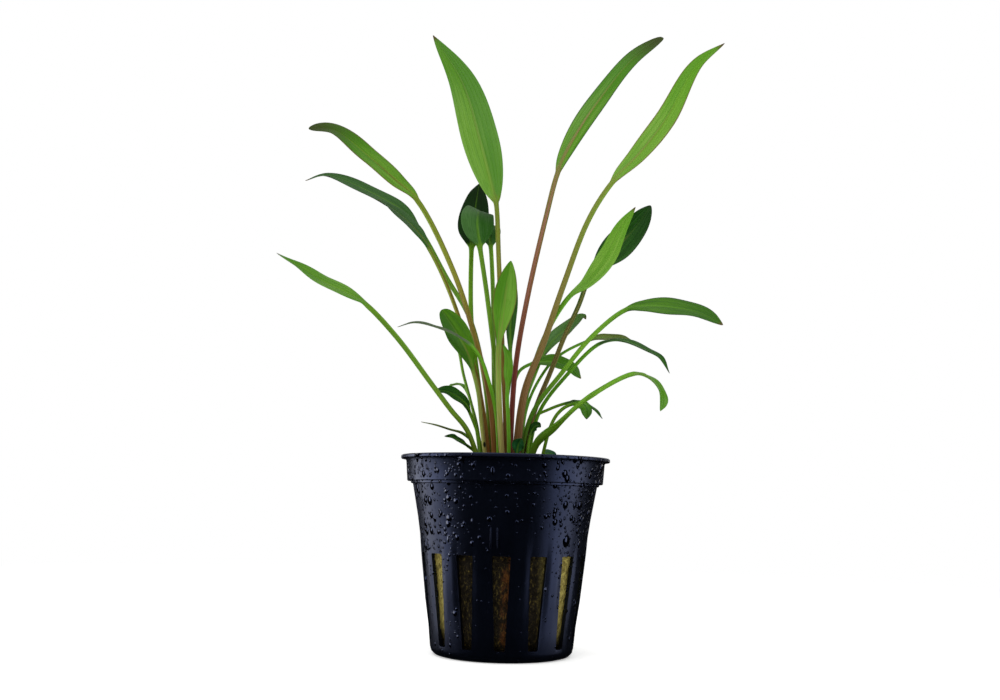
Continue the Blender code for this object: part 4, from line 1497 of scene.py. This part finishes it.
LEAVES: tuple[Leaf, ...] = (
    Leaf("leaf_left_tallest",
         stalk=((0.5, -4, 44.8), (-0.5, -3, 64), (-2, -1.5, 87), (-3, 0, 103.5)),
         blade=((-4.1, 1.2, 120), (-5, 2.2, 123.4), (-8.7, 4.5, 137.4), (-14.4, 8, 156.3),
                (-23.5, 10, 171.5)),
         stalk_width=1.3, blade_width=10.4, face=(0.05, -1, 0.2), widest=0.36, base_power=0.6,
         tip_power=0.9,
         finish=LeafFinish(Blade.BRIGHT, Stalk.OLIVE, sheen_half=1, deeper_tip=0.55, tip_reach=0.05)),
    Leaf("leaf_left_high",
         stalk=((-2.5, -3.5, 44.8), (-4.5, -3.5, 65.5), (-8.9, -3, 82.2), (-14.9, -3.5, 99.4)),
         blade=((-25.3, -5, 118.7), (-31, -5.5, 123.5), (-38.3, -6, 129.7), (-48.1, -8, 136.5),
                (-54.4, -10, 136.1)),
         stalk_width=1.4, blade_width=7.2, face=(0.32, -0.75, 0.6), widest=0.45, base_power=0.5,
         tip_power=0.5, fold=0.1,
         finish=LeafFinish(Blade.FRESH, Stalk.OLIVE, Edge.RED, Edge.MOSS, rib=0.8, deeper_tip=0.7,
                           tip_reach=0.5)),
    Leaf("leaf_left_arching",
         stalk=((-3.5, 1.7, 44.8), (-5.7, 2, 69), (-10.4, 4, 88), (-17.3, 7, 100)),
         blade=((-25, 10, 113.5), (-30, 11, 119.1), (-40, 14, 125.5), (-53.7, 18, 131.5),
                (-60.2, 21, 130.7)),
         stalk_width=1.3, blade_width=6.9, face=(0.3, -0.64, 0.7), widest=0.32, base_power=1.2,
         tip_power=0.75, fold=0.1,
         finish=LeafFinish(Blade.DEEP, margin=Edge.DARK, specks=(Speck(0.79, 0.7, 0.022),))),
    Leaf("leaf_left_arching_under",
         stalk=((-3.5, -1, 44.8), (-7, -1, 67), (-12, -0.5, 84), (-17, 1, 97)),
         blade=((-22, 3, 106.9), (-25.5, 4, 111.8), (-30.1, 6, 116.7), (-34.1, 8, 120.2),
                (-37.5, 10, 122.7)),
         stalk_width=1.1, blade_width=6.2, face=(0.4, -0.5, 0.75), base_power=1.2, fold=0.1,
         finish=LeafFinish(Blade.DEEP, Stalk.OLIVE)),
    Leaf("leaf_left_reaching",
         stalk=((-5.5, -5.5, 44.8), (-10.1, -7.8, 57.1), (-14.4, -9.5, 62.2), (-19.8, -13, 69),
                (-27.9, -18, 79.2)),
         blade=((-35.5, -22, 86.8), (-38.5, -23.5, 88.5), (-46, -27, 91.5), (-52.2, -30, 94.9),
                (-56.6, -33, 97.3)),
         stalk_width=1.3, blade_width=6.2, face=(0.37, -0.57, 0.73), widest=0.38, base_power=0.7,
         tip_power=1.2, fold=0.1,
         finish=LeafFinish(Blade.BRIGHT, tip=Edge.GREY)),
    Leaf("leaf_left_wisp",
         stalk=((-1.7, -5, 44.8), (-2.3, -5.2, 57.6), (-3.4, -5.5, 65.1), (-5, -6, 70.5),
                (-6.8, -6.6, 75.4)),
         blade=((-9.7, -8.7, 79.2), (-13.1, -10.6, 81.2), (-17.7, -12.5, 82.9), (-24, -14.5, 83.9),
                (-28.5, -16, 82.4)),
         stalk_width=1.0, blade_width=2.0, face=(0.1, -0.2, 1),
         finish=LeafFinish(Blade.ASHEN, Stalk.LIME, tip=Edge.GREY)),
    Leaf("leaf_left_short",
         stalk=((-4.5, -2.4, 44.8), (-6.5, -3, 59), (-7.5, -4, 67)),
         blade=((-9, -5, 72.7), (-11, -6, 78), (-13.7, -7.5, 82.5), (-15.9, -9, 85.7), (-17.7, -10, 88.2)),
         stalk_width=1.1, blade_width=7.2, face=(0.3, -0.9, 0.3), widest=0.55, base_power=1.3,
         tip_power=0.45,
         finish=LeafFinish(Blade.RICH, Stalk.CREAM, tip=Edge.GREEN, sheen_half=-1,
                           specks=(Speck(-0.68, 0.0, 0.035),))),
    Leaf("leaf_left_short_back",
         stalk=((-6, 2, 44.8), (-8.5, 3, 61), (-12, 5, 73.5)),
         blade=((-13.5, 6.5, 80), (-14.5, 7, 81.5), (-15.5, 8, 83), (-17, 9.5, 84.5)),
         stalk_width=0.8, blade_width=3.0, face=(0.4, -0.5, 0.7),
         finish=LeafFinish(Blade.FRESH)),
    Leaf("leaf_left_low",
         stalk=((-6, -0.3, 44.8), (-7, -1.5, 55)),
         blade=((-9.6, -3.5, 61.9), (-11, -5, 64.2), (-13.3, -7, 66), (-16.1, -8.5, 67.1),
                (-18.8, -9.5, 66.9)),
         stalk_width=0.9, blade_width=4.8, face=(0.3, -0.7, 0.6), base_power=1.2,
         finish=LeafFinish(Blade.NIGHT, tip=Edge.DARK, specks=(Speck(-0.75, 0.3, 0.12),))),
    Leaf("leaf_left_low_edge",
         stalk=((-6, 4, 44.8), (-7.5, 5, 57.5), (-9.5, 8, 65)),
         blade=((-11, 10, 69), (-13, 12, 71), (-15, 14, 71), (-16.5, 15.5, 70.5)),
         stalk_width=0.8, blade_width=1.8, face=(0.2, -0.3, 0.95),
         finish=LeafFinish(Blade.FRESH)),
    Leaf("leaf_left_lowest",
         stalk=((-7.2, -3.6, 44.8), (-8.2, -4.8, 53.5)),
         blade=((-11.2, -6, 56.4), (-14.5, -8.5, 57.2), (-17.9, -14, 57.9), (-21.5, -18, 58.4)),
         stalk_width=0.8, blade_width=1.1, face=(0.2, -0.3, 0.95), wave=0.0,
         finish=LeafFinish(Blade.OLIVE)),
    Leaf("leaf_left_tiny",
         stalk=((-8, -1.5, 44.8), (-8, -2.5, 51.5)),
         blade=((-9.8, -4, 53.2), (-11.8, -6, 54.2), (-13.9, -8.5, 55.2), (-15.9, -10, 55.4)),
         stalk_width=0.8, blade_width=2.4, face=(0.2, -0.7, 0.6),
         finish=LeafFinish(Blade.NIGHT, tip=Edge.DARK)),
    Leaf("leaf_middle_back",
         stalk=((-3.5, 5.5, 44.8), (-7.3, 8, 68), (-10.3, 11, 89)),
         blade=((-10.9, 15, 110.5), (-10.9, 18.3, 115.5), (-10.5, 22, 121.5), (-10, 26.5, 128),
                (-9.5, 31, 134)),
         stalk_width=1.3, blade_width=9, face=(0, -0.8, 0.6), widest=0.3, base_power=0.7,
         finish=LeafFinish(Blade.SHADE, tip=Edge.DARK)),
    Leaf("leaf_middle_glossy",
         stalk=((-1.5, 3.5, 44.8), (-2.6, 3.5, 69.5), (-5.8, 4.5, 93.5)),
         blade=((-8.4, 6, 109), (-9, 6.5, 112.5), (-9.3, 8, 116.5), (-9, 11.5, 120), (-8.2, 17, 121.5)),
         stalk_width=1.3, blade_width=9.6, face=(0.2, -0.75, 0.62), widest=0.36, base_power=0.6,
         tip_power=0.45, fold=0.02,
         finish=LeafFinish(Blade.DEEP, tip=Edge.DARK, sheen_half=1)),
    Leaf("leaf_middle_behind",
         stalk=((-2, 6.5, 44.8), (-3.5, 7.5, 70), (-4.5, 9, 97.5)),
         blade=((-5.4, 10.5, 110), (-5.8, 11.5, 112.6), (-6, 13, 115.2), (-5.7, 15.5, 117), (-5, 19, 118)),
         stalk_width=1.2, blade_width=6.6, face=(0.1, -0.75, 0.65), widest=0.36, base_power=0.8,
         finish=LeafFinish(Blade.DEEP, tip=Edge.DARK)),
    Leaf("leaf_front_bright",
         stalk=((-0.5, -6.5, 44.8), (-2, -7, 63.5), (-2.5, -8, 75.5)),
         blade=((-2.5, -8.3, 79.2), (-2.2, -8.8, 83.7), (-1.5, -9.3, 89.4), (-0.7, -10.8, 95.5),
                (0.2, -12.5, 101.2)),
         stalk_width=1.5, blade_width=6.3, face=(0.1, -1, 0.15), widest=0.55, base_power=1.3,
         finish=LeafFinish(Blade.BRIGHT, Stalk.CREAM, Edge.RED, tip=Edge.GREEN, sheen_half=-1)),
    Leaf("leaf_front_shadow",
         stalk=((-0.45, 0.8, 44.8), (-0.3, 0.1, 63), (0.8, -2.8, 73.1)),
         blade=((0.6, -3.9, 77.8), (0.4, -4.6, 82.8), (0.5, -5, 88.6), (0.7, -6, 94.6), (1, -7, 99.2)),
         stalk_width=1.0, blade_width=3.4, face=(0.3, -1, 0.1), widest=0.6, base_power=1,
         finish=LeafFinish(Blade.DEEP, tip=Edge.GREEN)),
    Leaf("leaf_front_small",
         stalk=((1, -8, 44.8), (0.5, -8.5, 58.5), (0, -9.5, 65.5)),
         blade=((0, -10, 67.5), (0, -10.5, 71), (0, -11, 75.5), (-1.5, -12, 79.5)),
         stalk_width=1.0, blade_width=2.4, face=(0.1, -1, 0.1),
         finish=LeafFinish(Blade.BRIGHT, Stalk.LIME, tip=Edge.DARK)),
    Leaf("leaf_right_tall",
         stalk=((1, -2, 44.8), (2, -1, 73.5), (4.8, 1, 93), (9.7, 3, 117)),
         blade=((12.8, 4.5, 130), (16, 5, 137.7), (22.6, 6, 149.2), (33.5, 7, 164.1), (42.4, 8, 171.5)),
         stalk_width=1.4, blade_width=6.3, face=(-0.35, -0.87, 0.35), widest=0.34, base_power=0.6,
         tip_power=0.35, fold=0.12,
         finish=LeafFinish(Blade.BRIGHT, Stalk.RUSSET, Edge.DARK, Edge.MOSS, rib=0.8, deeper_tip=0.9,
                           tip_reach=0.32)),
    Leaf("leaf_right_tallest",
         stalk=((2.2, -5.5, 44.8), (4.6, -5.2, 67.8), (9.2, -4.8, 80.5), (14.5, -3.8, 97),
                (20.9, -3, 114.8)),
         blade=((27.1, -3, 125.2), (34.4, -4, 133), (41.3, -5.5, 142.2), (49, -8.5, 156.4),
                (55.8, -13, 161.3)),
         stalk_width=1.4, blade_width=7.2, face=(-0.4, -0.82, 0.4), widest=0.34, base_power=0.65,
         tip_power=0.75, fold=0.12, sheath=1.9,
         finish=LeafFinish(Blade.PALE, Stalk.BROWN, Edge.RED, deeper_tip=0.5)),
    Leaf("leaf_right_mid",
         stalk=((3.2, -1.5, 44.8), (5.3, -1.5, 68), (10, -1.5, 83.6)),
         blade=((16.2, -2, 94), (20.9, -2.5, 97.7), (26.2, -3.5, 104.8), (29.5, -5, 112),
                (33.1, -7, 117.7)),
         stalk_width=1.3, blade_width=5.4, face=(-0.25, -0.95, 0.2), base_power=1.1, fold=0.12,
         finish=LeafFinish(Blade.PALE, Stalk.LIME)),
    Leaf("leaf_right_oval",
         stalk=((3, 0.8, 44.8), (7.6, 2, 63.6), (11.6, 3.5, 74), (15.2, 5, 83.7), (19.2, 6.5, 93)),
         blade=((22.6, 8, 102.2), (25.7, 9, 105.8), (30.2, 11, 110.6), (35.7, 13.5, 117.4),
                (40.2, 16, 124.4)),
         stalk_width=1.3, blade_width=8.6, face=(-0.1, -1, 0.1), widest=0.4, base_power=1.0, tip_power=0.7,
         finish=LeafFinish(Blade.NIGHT, Stalk.SHADED, Edge.DARK, tip=Edge.DARK)),
    Leaf("leaf_right_hooked",
         stalk=((3, 3.2, 44.8), (4.5, 6, 64), (7.5, 9, 73.5)),
         blade=((9.8, 12, 79.4), (12.4, 13, 83.6), (15.2, 14.5, 86.6), (18.3, 16, 89.5),
                (21.4, 17.5, 92.1), (22.2, 18, 91)),
         stalk_width=0.9, blade_width=5.4, face=(-0.35, -0.77, 0.5), base_power=0.9, fold=0.1,
         finish=LeafFinish(Blade.DUSTY, margin=Edge.GREY)),
    Leaf("leaf_right_level",
         stalk=((1, 2.5, 44.8), (1.5, 5, 66.5), (3.1, 7, 74.3)),
         blade=((6.5, 8.5, 76.8), (9.4, 9, 77.4), (13.4, 10, 77.5), (17.4, 11.5, 76.3), (20.7, 13, 73.5)),
         stalk_width=0.9, blade_width=6, face=(0, -0.75, 0.65), widest=0.5, base_power=0.9, fold=0.1,
         finish=LeafFinish(Blade.RICH, Stalk.LIME)),
    Leaf("leaf_right_pale",
         stalk=((4, 5.5, 44.8), (5.5, 8, 64.5), (10.5, 12, 75.5), (15, 15, 80.5)),
         blade=((21.5, 18, 84.4), (24.5, 20, 85.7), (29, 23, 86.7), (33.2, 25, 87), (36.7, 27, 86.6)),
         stalk_width=0.8, blade_width=2.8, face=(0, -0.8, 0.6),
         finish=LeafFinish(Blade.OLIVE, Stalk.LIME)),
    Leaf("leaf_right_dark_arch",
         stalk=((5.2, 1.2, 44.8), (8.5, -0.5, 62.5), (15.8, -3.5, 72.8)),
         blade=((23.3, -7, 80.3), (27.2, -9, 81.3), (30.6, -11, 80.6), (35.1, -14, 78.2),
                (38.5, -17, 75.7), (40.5, -19, 71.7)),
         stalk_width=1.0, blade_width=3.6, face=(0.1, -0.35, 0.9), tip_power=1.25,
         finish=LeafFinish(Blade.DEEP, Stalk.LIME, Edge.DARK, tip=Edge.DARK)),
    Leaf("leaf_right_broad",
         stalk=((2.8, -3.5, 44.8), (6.6, -4, 61.9), (14.3, -6, 73), (22, -9, 82.5)),
         blade=((29.9, -13, 88.7), (34.4, -15, 89.3), (40.9, -18, 88.6), (47.7, -21, 86.9),
                (52.9, -24, 83.5)),
         stalk_width=1.2, blade_width=7.2, face=(0.05, -0.75, 0.65), widest=0.38, base_power=0.8,
         tip_power=0.7, fold=0.1,
         finish=LeafFinish(Blade.RICH, Stalk.MOSSY, Edge.DARK)),
    Leaf("leaf_right_low_arch",
         stalk=((5.4, -6.4, 44.8), (7.8, -7.5, 54.1), (12.7, -9, 58.7), (20, -14, 65.4)),
         blade=((31.1, -21, 71.3), (34, -23, 70.5), (36.3, -25, 68.2), (37.4, -27, 64.7),
                (36.8, -28, 61.5)),
         stalk_width=1.2, blade_width=4.4, face=(0.75, -0.5, 0.5), widest=0.6, base_power=1, sheath=2.8,
         finish=LeafFinish(Blade.BRIGHT, Stalk.MOSSY, tip=Edge.GREEN)),
    Leaf("leaf_right_low_thin",
         stalk=((5.8, 3.6, 44.8), (7.5, 3.5, 61.5), (11.5, 3, 64)),
         blade=((15.5, 2, 65.5), (18.5, 0, 66), (22.5, -3, 64), (25, -6, 61)),
         stalk_width=0.8, blade_width=1.6, face=(0.2, -0.3, 0.95),
         finish=LeafFinish(Blade.DEEP, tip=Edge.DARK)),
    Leaf("leaf_right_hanging",
         stalk=((8.3, -1.5, 44.8), (11.8, -3.5, 59.5), (14, -5, 63)),
         blade=((16.5, -6.5, 64.5), (18.5, -8, 64.5), (20, -9, 63.5), (20.5, -10, 60.5)),
         stalk_width=0.9, blade_width=3.6, face=(0.3, -0.9, 0.3), widest=0.6,
         finish=LeafFinish(Blade.RICH, tip=Edge.DARK)),
    Leaf("leaf_right_small_dark",
         stalk=((5, -3.1, 44.8), (5.9, -2.7, 54)),
         blade=((6.3, -2.5, 56.5), (6.9, -2.4, 58), (7.6, -2.5, 58.9), (8.4, -2.7, 59.1),
                (9.1, -2.9, 58.7)),
         stalk_width=0.8, blade_width=2.4, face=(0, -0.9, 0.4), widest=0.6,
         finish=LeafFinish(Blade.NIGHT, tip=Edge.DARK)),
    Leaf("leaf_right_teal",
         stalk=((3.4, -8, 44.8), (3, -8.3, 50)),
         blade=((2.9, -8.5, 51), (2.9, -8.9, 52.4), (3.2, -9.4, 53.8), (3.9, -10.2, 55.3)),
         stalk_width=0.9, blade_width=3.4, face=(0, -1, 0.2), widest=0.6,
         finish=LeafFinish(Blade.TEAL, tip=Edge.GREEN)),
    Leaf("leaf_right_rim",
         stalk=((9.2, 1.2, 44.8), (9, 1.6, 50)),
         blade=((9.4, 2, 51.3), (10.5, 3, 51.9), (12, 4, 52.1), (14, 5, 51.3)),
         stalk_width=0.8, blade_width=2.4, face=(0.2, -0.8, 0.5),
         finish=LeafFinish(Blade.TEAL, tip=Edge.GREEN)),
)


def main() -> None:
    """Build the studio and every piece of the plant, and log each piece."""
    logging.basicConfig(level=logging.INFO, format="%(name)s: %(message)s")
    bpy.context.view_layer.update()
    slots = {entry["node"]: entry["material_slot"] for entry in frame["record"]["subparts"]}
    Studio().build()
    pot = NetPot()
    RockWool(pot).build(slots["rock_wool"])
    log.info("rock wool with %s fibres a square millimetre", RockWool.density)
    pot.build(slots["pot"])
    log.info("pot with %d slots", pot.slots)
    for name in ("crown_left", "crown_right"):
        Crown(name).build(slots[name])
        log.info("%s", name)
    for number, leaf in enumerate(LEAVES):
        leaf.build(float(number), slots[leaf.name])
        log.info("%s, %.0f mm of stalk and blade", leaf.name, sum(leaf.midline()[1:]))


if __name__ == "__main__":
    main()
